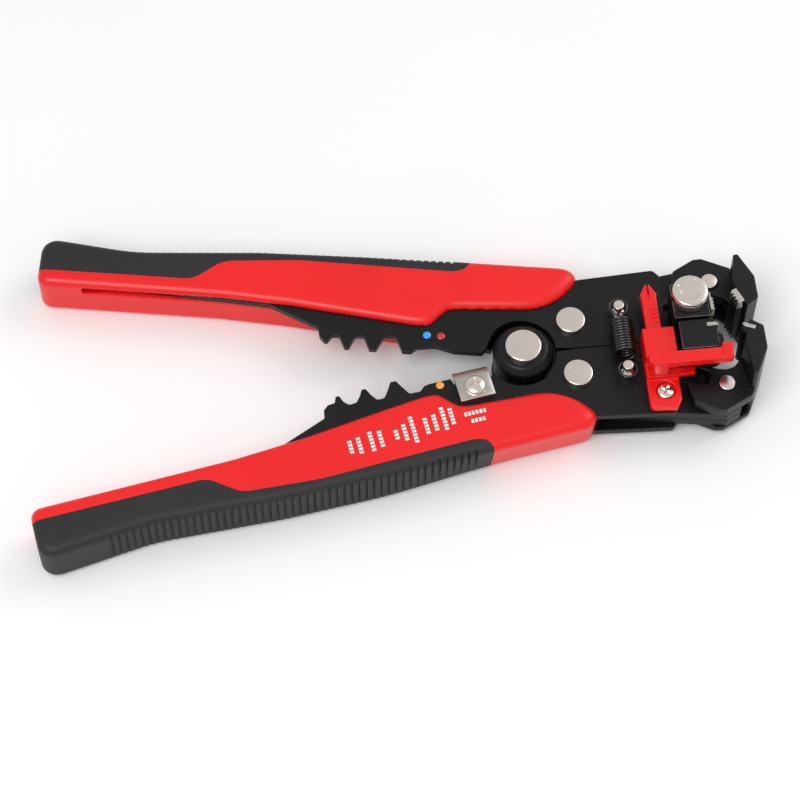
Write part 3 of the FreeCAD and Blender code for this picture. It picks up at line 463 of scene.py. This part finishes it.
def rim(radius, height, rounding, way, steps=5):
    """Corners of a rounded rim; way 1 closes a top, way -1 opens a bottom."""
    arc = []
    for step in range(steps + 1):
        turn = math.pi / 2 * step / steps
        arc.append((radius - rounding * (1 - math.cos(turn)), height - way * rounding * (1 - math.sin(turn))))
    return arc if way > 0 else arc[::-1]


def prism(name, outline, low, high, corner=0.0):
    """A straight-sided block on an outline, its upright edges rounded by corner."""
    deselect()
    bpy.ops.mesh.primitive_circle_add(vertices=len(outline), radius=1, fill_type="NGON")
    piece = bpy.context.object
    piece.name = piece.data.name = name
    for vertex, (x, y) in zip(piece.data.vertices, outline):
        vertex.co = (x, y, low)
    bpy.ops.object.mode_set(mode="EDIT")
    bpy.ops.mesh.select_all(action="SELECT")
    if corner:
        bpy.ops.mesh.bevel(affect="VERTICES", offset=corner, segments=6)
        bpy.ops.mesh.select_all(action="SELECT")
    bpy.ops.mesh.extrude_region_move(TRANSFORM_OT_translate={"value": (0, 0, high - low)})
    bpy.ops.mesh.select_all(action="SELECT")
    bpy.ops.mesh.normals_make_consistent(inside=False)
    bpy.ops.object.mode_set(mode="OBJECT")
    return piece


def slab(name, middle, across, angle=0.0):
    """A box of the size across, turned about Z, with its place in its mesh."""
    deselect()
    bpy.ops.mesh.primitive_cube_add(size=1, location=middle, rotation=(0, 0, angle))
    piece = bpy.context.object
    piece.name = piece.data.name = name
    piece.scale = across
    bpy.ops.object.transform_apply(location=True, rotation=True, scale=True)
    return piece


def joined(pieces):
    activate(pieces[0], *pieces[1:])
    bpy.ops.object.join()
    return bpy.context.object


def cut(piece, tool, operation="DIFFERENCE", discard=True, solver="MANIFOLD"):
    apply_modifier(piece, "BOOLEAN", operation=operation, object=tool, solver=solver)
    if discard:
        bpy.data.objects.remove(tool)
    return piece


def handle_point(word, side, x_mm, y_mm):
    """A point given with the handle closed, y outwards from the axis, as it lies at rest."""
    pivot = Vector(JOINTS[word + "_handle_pivot"]["pos_m"][:2])
    arm = Vector((x_mm * MM, side * y_mm * MM)) - pivot
    arm.rotate(Matrix.Rotation(-side * sizes().handle_angle, 2))
    return pivot + arm


def handle_axes(word, side):
    """The open handle's own origin, its directions along and outwards, and its turn about Z."""
    turn = -side * sizes().handle_angle
    along = Vector((math.cos(turn), math.sin(turn)))
    outward = Vector((-math.sin(turn), math.cos(turn))) * side
    return handle_point(word, side, 0, 0), along, outward, turn


def centre_of(node):
    low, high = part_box(node)
    return (low + high) / 2


# ---------------------------------------------------------------- operators

class OBJECT_OT_stripper_plates(bpy.types.Operator):
    """Frame plates, lever plates, jaws and blocks with eased edges and a black oxide finish"""
    bl_idname = "object.stripper_plates"
    bl_label = "Plates, jaws and blocks"

    def execute(self, context):
        edge = sizes().plate_edge
        plates = ["%s_%s_%s" % (word, part, layer) for word, _ in SIDES
                  for part in ("frame", "lever") for layer in ("front", "rear")]
        for node in plates:
            eased(node, node + "_plate", blackened_steel(), edge)
        for node in ("outer_gripper_jaw", "outer_cutter_jaw"):
            eased(node, node + "_cast", blackened_steel(), sizes().jaw_edge)
        for node in ("inner_gripper_block", "inner_cutter_block"):
            eased(node, node + "_machined", blackened_steel(), edge / 2, worn_edge())
        return {"FINISHED"}


class OBJECT_OT_stripper_blades(bpy.types.Operator):
    """Ground blades and toothed inserts"""
    bl_idname = "object.stripper_blades"
    bl_label = "Blades and inserts"

    def execute(self, context):
        edge, bright_head = 0.06 * MM, 3.2 * MM
        for node in ("inner_gripper_insert", "outer_gripper_insert",
                     "inner_cutter_blade", "outer_cutter_blade"):
            piece = eased(node, node + "_ground", ground_steel(), edge)
            self.blacken_shank(piece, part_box(node)[1].z - bright_head)
        return {"FINISHED"}

    def blacken_shank(self, piece, level):
        """Only the head that bites is ground bright: below the level the black oxide stays."""
        piece.data.materials.append(blackened_steel())
        activate(piece)
        bpy.ops.object.mode_set(mode="EDIT")
        bpy.ops.mesh.select_all(action="SELECT")
        bpy.ops.mesh.bisect(plane_co=(0, 0, level), plane_no=(0, 0, 1))
        bpy.ops.object.mode_set(mode="OBJECT")
        for face in piece.data.polygons:
            if face.center.z < level:
                face.material_index = 1


class OBJECT_OT_stripper_handle_blade(bpy.types.Operator):
    """Wire cutter blade on the lower handle, with its edge ground to a slope"""
    bl_idname = "object.stripper_handle_blade"
    bl_label = "Handle cutter blade"

    def execute(self, context):
        word, side, node = "lower", -1, "handle_cutter_blade"
        grind_wide, grind_deep, edge_y = 2.6, 1.5 * MM, -0.4
        piece = merged_copy(node, "handle_cutter_blade_ground")
        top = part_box(node)[1].z
        start = handle_point(word, side, 0, edge_y + grind_wide)
        edge = handle_point(word, side, 0, edge_y)
        inward = (edge - start).normalized()
        activate(piece)
        bpy.ops.object.mode_set(mode="EDIT")
        bpy.ops.mesh.select_all(action="SELECT")
        bpy.ops.mesh.bisect(plane_co=(*start, top), plane_no=(*inward, 0))
        bpy.ops.object.mode_set(mode="OBJECT")
        near = 0.05 * MM
        for vertex in piece.data.vertices:
            on_edge = (vertex.co.xy - edge).dot(inward) > -near
            vertex.co.z -= grind_deep * (on_edge and vertex.co.z > top - near)
        piece.data.materials.append(ground_steel())
        apply_modifier(piece, "BEVEL", width=0.08 * MM, segments=2, limit_method="ANGLE",
                       angle_limit=math.radians(20), use_clamp_overlap=False)
        finish_piece(piece, ground_steel(), 30)
        stand_in(piece, node, body_of(node))
        return {"FINISHED"}


class OBJECT_OT_stripper_rivets(bpy.types.Operator):
    """Plated rivets, spring posts and the black hub discs, all turned"""
    bl_idname = "object.stripper_rivets"
    bl_label = "Rivets, posts and hub discs"

    def execute(self, context):
        # shank radius, head height and rim rounding in millimetres; the jaws' rivets have no head
        rivets = (("main_pivot_rivet", 3.5, 1.5, 0.45), ("upper_lever_rivet", 2.5, 1.4, 0.4),
                  ("lower_lever_rivet", 2.5, 1.4, 0.4), ("gripper_jaw_rivet", None, 0, 0.25),
                  ("cutter_jaw_rivet", None, 0, 0.25))
        for node, shank, head, rounding in rivets:
            low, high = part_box(node)
            radius, rounding = (high.x - low.x) / 2, rounding * MM
            profile = rim(radius, low.z, rounding, -1)
            if shank:
                profile += [(radius, low.z + head * MM), (shank * MM, low.z + head * MM),
                            (shank * MM, high.z - head * MM), (radius, high.z - head * MM)]
            profile += rim(radius, high.z, rounding, 1)
            piece = lathe(node + "_plated", centre_of(node), profile)
            finish_piece(piece, nickel(), 30)
            stand_in(piece, node, body_of(node))
        for word, _ in SIDES:
            self.post(word + "_spring_post")
        for node, way in (("hub_disc_front", 1), ("hub_disc_rear", -1)):
            self.hub(node, way)
        return {"FINISHED"}

    def post(self, node):
        """A riveted post: a collar on the plate, a neck that the hook sits round, and a button head."""
        low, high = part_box(node)
        plate_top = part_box("upper_lever_front")[1].z
        stem, collar, neck, head = 1.2 * MM, 1.7 * MM, 0.95 * MM, 1.45 * MM
        chamfer, rounding = 0.35 * MM, 0.2 * MM
        hook = high.z - HOOK_BELOW_TOP
        wire_low, wire_high = hook - sizes().wire / 2, hook + sizes().wire / 2
        profile = [(stem, low.z), (stem, plate_top), (collar, plate_top + chamfer)]
        profile += rim(collar, wire_low - 1.4 * MM, rounding, 1)
        profile += [(neck, wire_low - 1.2 * MM), (neck, wire_high + 0.3 * MM)]
        profile += [(head, wire_high + 0.4 * MM)] + rim(head, high.z, rounding, 1)
        piece = lathe(node + "_plated", centre_of(node), profile, 48)
        finish_piece(piece, nickel(), 30)
        stand_in(piece, node, body_of(node))

    def hub(self, node, way):
        """A thick washer with a broad rolled bevel round the main rivet."""
        low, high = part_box(node)
        radius, bore, shoulder = (high.x - low.x) / 2, 3.6 * MM, 6.6 * MM
        outside, inside = (high.z, low.z) if way > 0 else (low.z, high.z)
        ledge = inside + way * 2.7 * MM
        profile = [(bore, inside), (radius, inside), (radius, ledge), (shoulder, outside), (bore, outside)]
        deselect()
        bpy.ops.mesh.primitive_circle_add(vertices=128, radius=bore, fill_type="NOTHING",
                                          location=(0, 0, inside))
        piece = just_made(node + "_turned")
        bpy.ops.object.mode_set(mode="EDIT")
        bpy.ops.mesh.select_all(action="SELECT")
        at_radius, at_height = bore, inside
        for new_radius, new_height in profile[1:] + profile[:1]:
            rise = new_height - at_height
            bpy.ops.mesh.extrude_edges_move(TRANSFORM_OT_translate={"value": (0, 0, rise)})
            factor = new_radius / at_radius
            bpy.ops.transform.resize(value=(factor, factor, 1), center_override=(0, 0, new_height))
            at_radius, at_height = new_radius, new_height
        bpy.ops.object.mode_set(mode="OBJECT")
        settle(piece)
        apply_modifier(piece, "BEVEL", width=0.6 * MM, segments=5, limit_method="ANGLE",
                       angle_limit=math.radians(20))
        finish_piece(piece, blackened_steel(), 30)
        stand_in(piece, node, body_of(node))


class OBJECT_OT_stripper_screws(bpy.types.Operator):
    """Cross-recessed screws of the handle blade and the wire stop, and the hidden block screws"""
    bl_idname = "object.stripper_screws"
    bl_label = "Screws"

    def execute(self, context):
        # head height and shank radius in millimetres, and the recess's turn in degrees
        screws = (("handle_cutter_screw", 1.6, 1.5, 12), ("wire_stop_screw", 1.1, 1.2, 50))
        steps, dome_share, slot_wide, slot_tall = 7, 0.62, 0.62 * MM, 1.5 * MM
        for node, head_tall, shank, turn in screws:
            low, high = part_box(node)
            radius, seat = (high.x - low.x) / 2, high.z - head_tall * MM
            dome = head_tall * dome_share * MM
            profile = [(shank * MM, low.z), (shank * MM, seat), (radius, seat), (radius, high.z - dome)]
            for step in range(1, steps):
                rise = math.pi / 2 * step / steps
                profile.append((radius * math.cos(rise), high.z - dome + dome * math.sin(rise)))
            centre = centre_of(node)
            piece = lathe(node + "_plated", centre, profile, 64)
            for arm in (0, 90):
                cut(piece, slab("recess", (centre.x, centre.y, high.z), (radius * 1.25, slot_wide, slot_tall),
                                math.radians(turn + arm)))
            socket = [(0.35 * MM, high.z - 1.05 * MM), (0.85 * MM, high.z + 0.1 * MM)]
            cut(piece, lathe("socket", centre, socket, 24))
            finish_piece(piece, nickel(), 30)
            stand_in(piece, node, body_of(node))
        for word, _ in SIDES:
            node = word + "_block_screws"
            eased(node, node + "_plated", nickel(), 0.15 * MM)
        return {"FINISHED"}


class OBJECT_OT_stripper_knob(bpy.types.Operator):
    """Knurled tension knob with a ring groove and engraved ticks, and its eccentric pin"""
    bl_idname = "object.stripper_knob"
    bl_label = "Tension knob"

    def execute(self, context):
        node = "tension_knob"
        low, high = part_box(node)
        pivot = Vector(JOINTS["knob_turn"]["pos_m"])
        radius, stem, stem_low = (high.x - low.x) / 2, 2.0 * MM, low.z + 2.0 * MM
        skirt = high.z - 4.2 * MM
        knurl_low, knurl_high, root = skirt + 0.3 * MM, high.z - 1.5 * MM, radius - 0.28 * MM
        ring, groove_floor = 2.95 * MM, high.z - 0.16 * MM
        profile = [(stem, stem_low), (stem, skirt), (root, skirt), (radius, knurl_low), (radius, knurl_high),
                   (root, knurl_high + 0.15 * MM), (root, knurl_high + 0.3 * MM),
                   (radius, knurl_high + 0.5 * MM)]
        profile += rim(radius, high.z, 0.55 * MM, 1)
        profile += [(ring, high.z), (ring - 0.1 * MM, groove_floor), (ring - 0.32 * MM, groove_floor),
                    (ring - 0.42 * MM, high.z)]
        piece = lathe("tension_knob_knurled", pivot, profile, 2 * sizes().knurl_count)
        # every second edge of the side is pressed in, which leaves straight knurling
        for vertex in piece.data.vertices:
            arm = vertex.co.xy - pivot.xy
            turn = round(math.atan2(arm.y, arm.x) / math.pi * sizes().knurl_count)
            knurled = knurl_low - SAME_PLACE < vertex.co.z < knurl_high + SAME_PLACE
            side_wall = knurled and arm.length > root
            if side_wall and turn % 2:
                vertex.co.xy = pivot.xy + arm * (root / arm.length)
        tick_radius, tick = 3.6 * MM, (0.7 * MM, 0.22 * MM, 0.2 * MM)
        for turn in range(-60, 61, 30):
            angle = math.radians(90 + turn)
            place = pivot.xy + Vector((math.cos(angle), math.sin(angle))) * tick_radius
            cut(piece, slab("tick", (*place, high.z), tick, angle))
        pin_radius, throw, overlap = 1.0 * MM, Vector((0, 0.4 * MM, 0)), 0.1 * MM
        pin = lathe("eccentric_pin", pivot - throw,
                    [(pin_radius, low.z), (pin_radius, stem_low + overlap)], 32)
        joined([piece, pin])
        finish_piece(piece, nickel(), 30)
        stand_in(piece, node, body_of(node))
        return {"FINISHED"}


class OBJECT_OT_stripper_spring(bpy.types.Operator):
    """Close-wound return spring with a hook round each post, made as three lengths that are not attached to
    the handles or frames
    """
    bl_idname = "object.stripper_spring"
    bl_label = "Return spring"

    def execute(self, context):
        low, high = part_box("return_spring")
        wire, turns = sizes().wire, sizes().coil_turns + 0.5
        per_turn, hook_steps, neck_steps = 28, 24, 14
        middle_x, reach, _ = centre_of("upper_spring_post")
        coil_radius, coil_z = (high.z - low.z - wire) / 2, (high.z + low.z) / 2
        hook_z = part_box("upper_spring_post")[1].z - HOOK_BELOW_TOP
        hook_radius, hook_y = 2.45 * MM, reach + 0.3 * MM
        coil_end = 5.3 * MM - wire / 2
        neck_turn, neck_rise, neck_dip = 0.4, 2.2 * MM, 1.6 * MM

        def coil_point(turn):
            angle = 2 * math.pi * turn
            return Vector((middle_x - coil_radius * math.cos(angle), coil_end - 2 * coil_end * turn / turns,
                           coil_z + coil_radius * math.sin(angle)))

        upper = []
        for step in range(hook_steps):
            angle = math.radians(-60 + 330 * step / (hook_steps - 1))
            upper.append(Vector((middle_x + hook_radius * math.cos(angle),
                                 hook_y + hook_radius * math.sin(angle), hook_z)))
        hook_end = upper[-1]
        for step in range(1, neck_steps):
            share = step / neck_steps
            ease = share * share * (3 - 2 * share)
            outer = coil_point(neck_turn * (share - 1))
            outer.y = coil_end + (1 - share) * neck_rise
            inner = hook_end + Vector((0, -neck_dip * share, 0))
            upper.append(inner.lerp(outer, ease))
        # the lower end is the upper one turned half round about Z
        lower = [Vector((2 * middle_x - p.x, -p.y, p.z)) for p in reversed(upper)]
        coil = [coil_point(step / per_turn) for step in range(round(turns * per_turn) + 1)]
        path = upper + coil + lower
        # the two frames meet in the middle of the coil, and a neck joins each frame to its handle; the wire
        # is split there into three lengths, and the bodies and neck bounds listed with them are not used
        bound_y, neck_y = 2.6 * MM, 7.2 * MM
        first = [p for p in path if p.y >= bound_y]
        second = [p for p in path if abs(p.y) <= bound_y]
        third = [p for p in path if p.y <= -bound_y]
        second = [first[-1]] + second + [third[0]]
        thirds = (("upper", first, "upper_handle", "upper_frame", neck_y, bound_y),
                  ("middle", second, "upper_frame", "lower_frame", bound_y, -bound_y),
                  ("lower", third, "lower_frame", "lower_handle", -bound_y, -neck_y))
        for word, points, body_a, body_b, start, end in thirds:
            piece = self.bent_wire("return_spring_" + word, points, wire)
            finish_piece(piece, spring_wire(), 60)
            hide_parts("return_spring")
            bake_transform(piece)
        return {"FINISHED"}

    def bent_wire(self, name, points, wire):
        """A round wire of the given thickness through the points, as a mesh."""
        deselect()
        curve = bpy.data.curves.new(name, "CURVE")
        curve.dimensions = "3D"
        curve.bevel_depth = wire / 2
        curve.bevel_resolution = 3
        curve.use_fill_caps = True
        spline = curve.splines.new("POLY")
        spline.points.add(len(points) - 1)
        for target, place in zip(spline.points, points):
            target.co = (*place, 1)
        piece = bpy.data.objects.new(name, curve)
        bpy.context.scene.collection.objects.link(piece)
        activate(piece)
        bpy.ops.object.convert(target="MESH")
        return bpy.context.object


class OBJECT_OT_stripper_grips(bpy.types.Operator):
    """Two-shot grips: satin red cores under ribbed charcoal overmoulds"""
    bl_idname = "object.stripper_grips"
    bl_label = "Grips"

    def execute(self, context):
        for word, side in SIDES:
            core = joined([merged_copy(word + "_grip", word + "_grip_core", False),
                           merged_copy(word + "_grip_overmould", "outer_half", False)])
            apply_modifier(core, "REMESH", mode="VOXEL", voxel_size=sizes().grip_cell)
            self.lean(core, word, side)
            self.soften(core, word, side)
            for layer in ("front", "rear"):
                cut(core, self.channel_tool(word, side, layer))
            divider = self.parting_tool(word, side)
            skin = bpy.data.objects.new(word + "_grip_skin", core.data.copy())
            context.scene.collection.objects.link(skin)
            cut(core, divider, discard=False)
            cut(skin, divider, "INTERSECT")
            cut(skin, self.rib_tool(word, side, skin))
            core.data.materials.clear()
            skin.data.materials.clear()
            finish_piece(core, moulded_core(), 50)
            finish_piece(skin, soft_overmould(), 40)
            body = word + "_handle"
            stand_in(core, word + "_grip", body)
            stand_in(skin, word + "_grip_overmould", body)
        return {"FINISHED"}

    def lean(self, piece, word, side):
        """Draws the outer wall of the nose inwards towards the back, as the mould's draft does."""
        full_lean = 2.6 * MM
        ramp_from, ramp_to, wall_from, wall_to = -50 * MM, -8 * MM, 14 * MM, 24 * MM
        low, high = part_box(word + "_grip")
        origin, along, outward, _ = handle_axes(word, side)
        group = piece.vertex_groups.new(name="lean")
        for vertex in piece.data.vertices:
            place = vertex.co.xy - origin
            forward = (place.dot(along) - ramp_from) / (ramp_to - ramp_from)
            wall = (place.dot(outward) - wall_from) / (wall_to - wall_from)
            back = (high.z - vertex.co.z) / (high.z - low.z)
            forward, wall, back = (min(1.0, max(0.0, share)) for share in (forward, wall, back))
            group.add([vertex.index], forward * forward * (3 - 2 * forward) * wall * back, "REPLACE")
        apply_modifier(piece, "DISPLACE", direction="Y", strength=-side * full_lean, mid_level=0.0,
                       vertex_group="lean")

    def soften(self, piece, word, side):
        """Rounds the long edges, most of all round the nose; the slots for the plates stay crisp."""
        slot_edge, ramp = 5.5 * MM, 1.2 * MM
        nose_back, nose_ramp = handle_point(word, side, -38, 0).x, 12 * MM
        everywhere = piece.vertex_groups.new(name="long_edges")
        nose = piece.vertex_groups.new(name="nose")
        for vertex in piece.data.vertices:
            share = min(1.0, max(0.0, (abs(vertex.co.z - MIDDLE) - slot_edge) / ramp))
            forward = min(1.0, max(0.0, (vertex.co.x - nose_back) / nose_ramp))
            everywhere.add([vertex.index], 0.12 + 0.88 * share, "REPLACE")
            nose.add([vertex.index], share * forward, "REPLACE")
        apply_modifier(piece, "SMOOTH", factor=0.5, iterations=36, vertex_group="long_edges")
        apply_modifier(piece, "SMOOTH", factor=0.5, iterations=60, vertex_group="nose")

    def channel_tool(self, word, side, layer):
        """The slot that a lever plate runs through, cut again so that its lips are crisp."""
        lip, back, outer = 0.25 * MM, -121.7, 20.4
        inner = -20.0 if layer == "front" else 12.0
        low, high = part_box("%s_lever_%s" % (word, layer))
        line = [(back, outer), (back, inner), (-4.0, inner), (-4.0, outer)]
        outline = [handle_point(word, side, x, y) for x, y in line]
        return prism("channel_tool", outline, low.z - lip, high.z + lip)

    def parting_tool(self, word, side):
        """Everything outside the line where the overmould meets the core."""
        behind = -139.3 if side > 0 else -143.8
        line = [(behind, 14.7), (-91.0, 14.2), (-83.0, 20.6), (-62.0, 22.2), (-18.0, 21.2), (-14.5, 23.0),
                (-14.0, 40.0), (behind, 40.0)]
        outline = [handle_point(word, side, x, y) for x, y in line]
        low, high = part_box(word + "_grip")
        return prism("parting_tool", outline, low.z - 2 * MM, high.z + 2 * MM, 2.2 * MM)

    def rib_tool(self, word, side, skin):
        """Slots across the overmould's outer side, one pitch apart."""
        pitch, wide, deep = sizes().rib_pitch / MM, sizes().rib_slot, sizes().rib_deep
        first, ribbed, reach = -19.5, 102.5, 2 * MM
        origin, along, outward, turn = handle_axes(word, side)
        outline = sorted(((v.co.xy - origin).dot(along), (v.co.xy - origin).dot(outward))
                         for v in skin.data.vertices if abs(v.co.z - MIDDLE) < 1 * MM)
        tall = 16 * MM
        slots = []
        for index in range(round(ribbed / pitch)):
            x = (first - index * pitch) * MM
            surface = max(y for at, y in outline if abs(at - x) < 0.7 * MM)
            place = origin + along * x + outward * (surface - deep + reach)
            slots.append(slab("slot", (*place, MIDDLE), (wide, 2 * reach, tall), turn))
        tool = joined(slots)
        apply_modifier(tool, "BEVEL", width=0.2 * MM, segments=2, limit_method="ANGLE")
        return tool


class OBJECT_OT_stripper_enamel_dots(bpy.types.Operator):
    """Three enamel drops that mark the crimp sizes"""
    bl_idname = "object.stripper_enamel_dots"
    bl_label = "Enamel dots"

    def execute(self, context):
        tones = colours()
        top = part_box("upper_lever_front")[1].z
        radius, tall, sunk, steps = sizes().dot / 2, 0.45 * MM, 0.1 * MM, 6
        profile = [(radius, top - sunk)]
        for step in range(steps):
            rise = math.pi / 2 * step / steps
            profile.append((radius * math.cos(rise), top + tall * math.sin(rise)))
        for name, x, y, body, tone in (("blue", -25.6, 8.1, "upper_handle", tones.blue),
                                       ("ruby", -21.8, 7.4, "upper_handle", tones.ruby),
                                       ("amber", -23.7, -8.0, "lower_handle", tones.amber)):
            piece = lathe(name + "_enamel_dot", (x * MM, y * MM), profile, 40)
            finish_piece(piece, enamel("stoved_enamel_" + name, tone), 60)
            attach(piece, body)
        return {"FINISHED"}


class OBJECT_OT_stripper_print(bpy.types.Operator):
    """Rows of plain white dashes beside the crimp teeth and the cutter, in place of any wording"""
    bl_idname = "object.stripper_print"
    bl_label = "Printed marks"

    def execute(self, context):
        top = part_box("lower_grip")[1].z
        dash, pitch, tall, film = 0.72 * MM, 1.06, 1.15 * MM, 0.06 * MM
        # each row: where it starts on the closed handle, how many dashes, and whether it runs along it
        rows = ((-23.0, 10.9, 5, 0), (-25.2, 10.0, 7, 0), (-27.8, 11.6, 5, 0), (-30.3, 12.0, 5, 0),
                (-34.0, 10.6, 8, 0), (-36.4, 12.4, 5, 0), (-38.8, 13.6, 3, 0), (-43.2, 12.6, 5, 0),
                (-45.8, 12.2, 6, 0), (-49.2, 13.1, 5, 0), (-51.7, 13.5, 4, 0), (-17.9, 15.9, 4, 1),
                (-19.2, 13.5, 6, 1))
        turn = sizes().handle_angle
        dashes = []
        for x, y, count, lengthwise in rows:
            across = (dash, tall, film) if lengthwise else (tall, dash, film)
            for index in range(count):
                step = index * pitch
                place = handle_point("lower", -1, x + step * lengthwise, y + step * (1 - lengthwise))
                dashes.append(slab("dash", (*place, top + 0.01 * MM), across, turn))
        piece = joined(dashes)
        piece.name = piece.data.name = "grip_printed_dashes"
        finish_piece(piece, pad_print(), 30)
        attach(piece, "lower_handle")
        return {"FINISHED"}


class OBJECT_OT_stripper_wire_stop(bpy.types.Operator):
    """Moulded wire stop: guide block, and the sliding arm with its split arrow tip and scale ridges"""
    bl_idname = "object.stripper_wire_stop"
    bl_label = "Wire stop"

    def execute(self, context):
        guide, slide = (self.moulded(node) for node in ("wire_stop_guide", "wire_stop_slide"))
        self.ejector_rings(guide, ((39.4, -2.3), (34.5, -19.9), (41.0, -12.2)))
        self.ejector_rings(slide, ((35.7, -11.5), (53.4, -10.9)))
        tip = Vector((35.8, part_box("wire_stop_slide")[1].y / MM))
        split_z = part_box("wire_stop_guide")[1].z - 1.4 * MM
        for wide, long, deep in ((0.5, 9.6, 1.3), (0.42, 6.0, 8.0)):
            cut(slide, slab("split", (tip.x * MM, tip.y * MM, split_z), (wide * MM, long * MM, deep * MM)))
        first_ridge, ridge_pitch = 6.4, 1.35
        for index in range(4):
            self.ridge(slide, 36.6, first_ridge - ridge_pitch * index)
        for piece, node in ((guide, "wire_stop_guide"), (slide, "wire_stop_slide")):
            finish_piece(piece, moulded_stop(), 35)
            stand_in(piece, node, body_of(node))
        return {"FINISHED"}

    def moulded(self, node):
        """The CAD shape with the soft edges and corners of a moulding."""
        piece = merged_copy(node, node + "_moulded", False)
        apply_modifier(piece, "REMESH", mode="VOXEL", voxel_size=sizes().stop_cell)
        apply_modifier(piece, "SMOOTH", factor=0.5, iterations=5)
        return piece

    def top_at(self, piece, x, y):
        hit, place, _, _ = piece.ray_cast(Vector((x, y, 1.0)), Vector((0, 0, -1)))
        if not hit:
            raise RuntimeError("nothing lies under (%.1f, %.1f) mm on %s" % (x / MM, y / MM, piece.name))
        return place.z

    def ejector_rings(self, piece, places):
        """Shallow rings that the mould's ejector pins leave on top, at places in millimetres."""
        for x, y in ((x * MM, y * MM) for x, y in places):
            top = self.top_at(piece, x, y)
            ring = lathe("ring", (x, y), [(0.85 * MM, top - 0.09 * MM), (0.85 * MM, top + 0.3 * MM)], 32)
            cut(ring, lathe("core", (x, y), [(0.6 * MM, top - 0.3 * MM), (0.6 * MM, top + 0.6 * MM)], 32))
            cut(piece, ring)

    def ridge(self, slide, x, y):
        """A raised scale mark on the right half of the arm."""
        top = self.top_at(slide, x * MM, y * MM)
        cut(slide, slab("ridge", (x * MM, y * MM, top), (1.9 * MM, 0.5 * MM, 0.5 * MM)), "UNION")


class OBJECT_OT_stripper_stage(bpy.types.Operator):
    """Pale floor, soft studio lights and the camera"""
    bl_idname = "object.stripper_stage"
    bl_label = "Stage"

    def execute(self, context):
        stage = context.scene.stripper_stage
        low, high = CAD_BOX
        deselect()
        bpy.ops.mesh.primitive_plane_add(size=6.0, location=(0, 0, low[2]))
        floor = context.object
        floor.name = "studio_floor"
        floor.data.materials.append(studio_floor())
        # the middle of the picture lies a little behind the middle of the box
        target = Vector((low[0] + 0.5045 * (high[0] - low[0]), low[1] + 0.417 * (high[1] - low[1]), MIDDLE))
        back = Vector((math.sin(stage.azimuth) * math.cos(stage.elevation),
                       -math.cos(stage.azimuth) * math.cos(stage.elevation), math.sin(stage.elevation)))
        bpy.ops.object.camera_add(location=target + back * stage.distance)
        camera = context.object
        camera.rotation_euler = back.to_track_quat("Z", "Y").to_euler()
        camera.data.lens = stage.lens
        camera.data.clip_start = 0.05
        context.scene.camera = camera
        world = bpy.data.worlds.new("white_room")
        world.use_nodes = True
        backdrop = world.node_tree.nodes["Background"].inputs
        backdrop["Color"].default_value = (1, 1, 1, 1)
        backdrop["Strength"].default_value = stage.ceiling
        context.scene.world = world
        context.scene.view_settings.view_transform = "Standard"
        lamps = (("key", (-0.25, -0.35, 0.75), 1.0), ("fill", (0.6, 0.3, 0.6), 0.5))
        for name, place, share in lamps:
            bpy.ops.object.light_add(type="AREA", location=target + Vector(place))
            lamp = context.object
            lamp.name = name + "_soft_box"
            lamp.data.shape = "SQUARE"
            lamp.data.size = 0.5
            lamp.data.energy = stage.key * share
            lamp.rotation_euler = Vector(place).to_track_quat("Z", "Y").to_euler()
        return {"FINISHED"}


class VIEW3D_PT_stripper(bpy.types.Panel):
    """Lists the pieces and the stage"""
    bl_label = "Wire Stripper"
    bl_space_type = "VIEW_3D"
    bl_region_type = "UI"
    bl_category = "Wire Stripper"

    def draw(self, context):
        for settings in (context.scene.stripper_sizes, context.scene.stripper_colours,
                         context.scene.stripper_stage):
            column = self.layout.column(align=True)
            for name in settings.__annotations__:
                column.prop(settings, name)
        for operator in OPERATORS:
            self.layout.operator(operator.bl_idname)


OPERATORS = (OBJECT_OT_stripper_plates, OBJECT_OT_stripper_blades, OBJECT_OT_stripper_handle_blade,
             OBJECT_OT_stripper_rivets, OBJECT_OT_stripper_screws, OBJECT_OT_stripper_knob,
             OBJECT_OT_stripper_spring, OBJECT_OT_stripper_grips, OBJECT_OT_stripper_wire_stop,
             OBJECT_OT_stripper_enamel_dots, OBJECT_OT_stripper_print, OBJECT_OT_stripper_stage)
SETTINGS = (("stripper_colours", ColourSettings), ("stripper_sizes", SizeSettings),
            ("stripper_stage", StageSettings))


def register():
    for name, group in SETTINGS:
        bpy.utils.register_class(group)
        setattr(bpy.types.Scene, name, PointerProperty(type=group))
    for operator in OPERATORS:
        bpy.utils.register_class(operator)
    bpy.utils.register_class(VIEW3D_PT_stripper)


def unregister():
    bpy.utils.unregister_class(VIEW3D_PT_stripper)
    for operator in reversed(OPERATORS):
        bpy.utils.unregister_class(operator)
    for name, group in reversed(SETTINGS):
        delattr(bpy.types.Scene, name)
        bpy.utils.unregister_class(group)


def main():
    register()
    for operator in OPERATORS:
        group, name = operator.bl_idname.split(".")
        getattr(getattr(bpy.ops, group), name)()


if __name__ == "__main__":
    main()
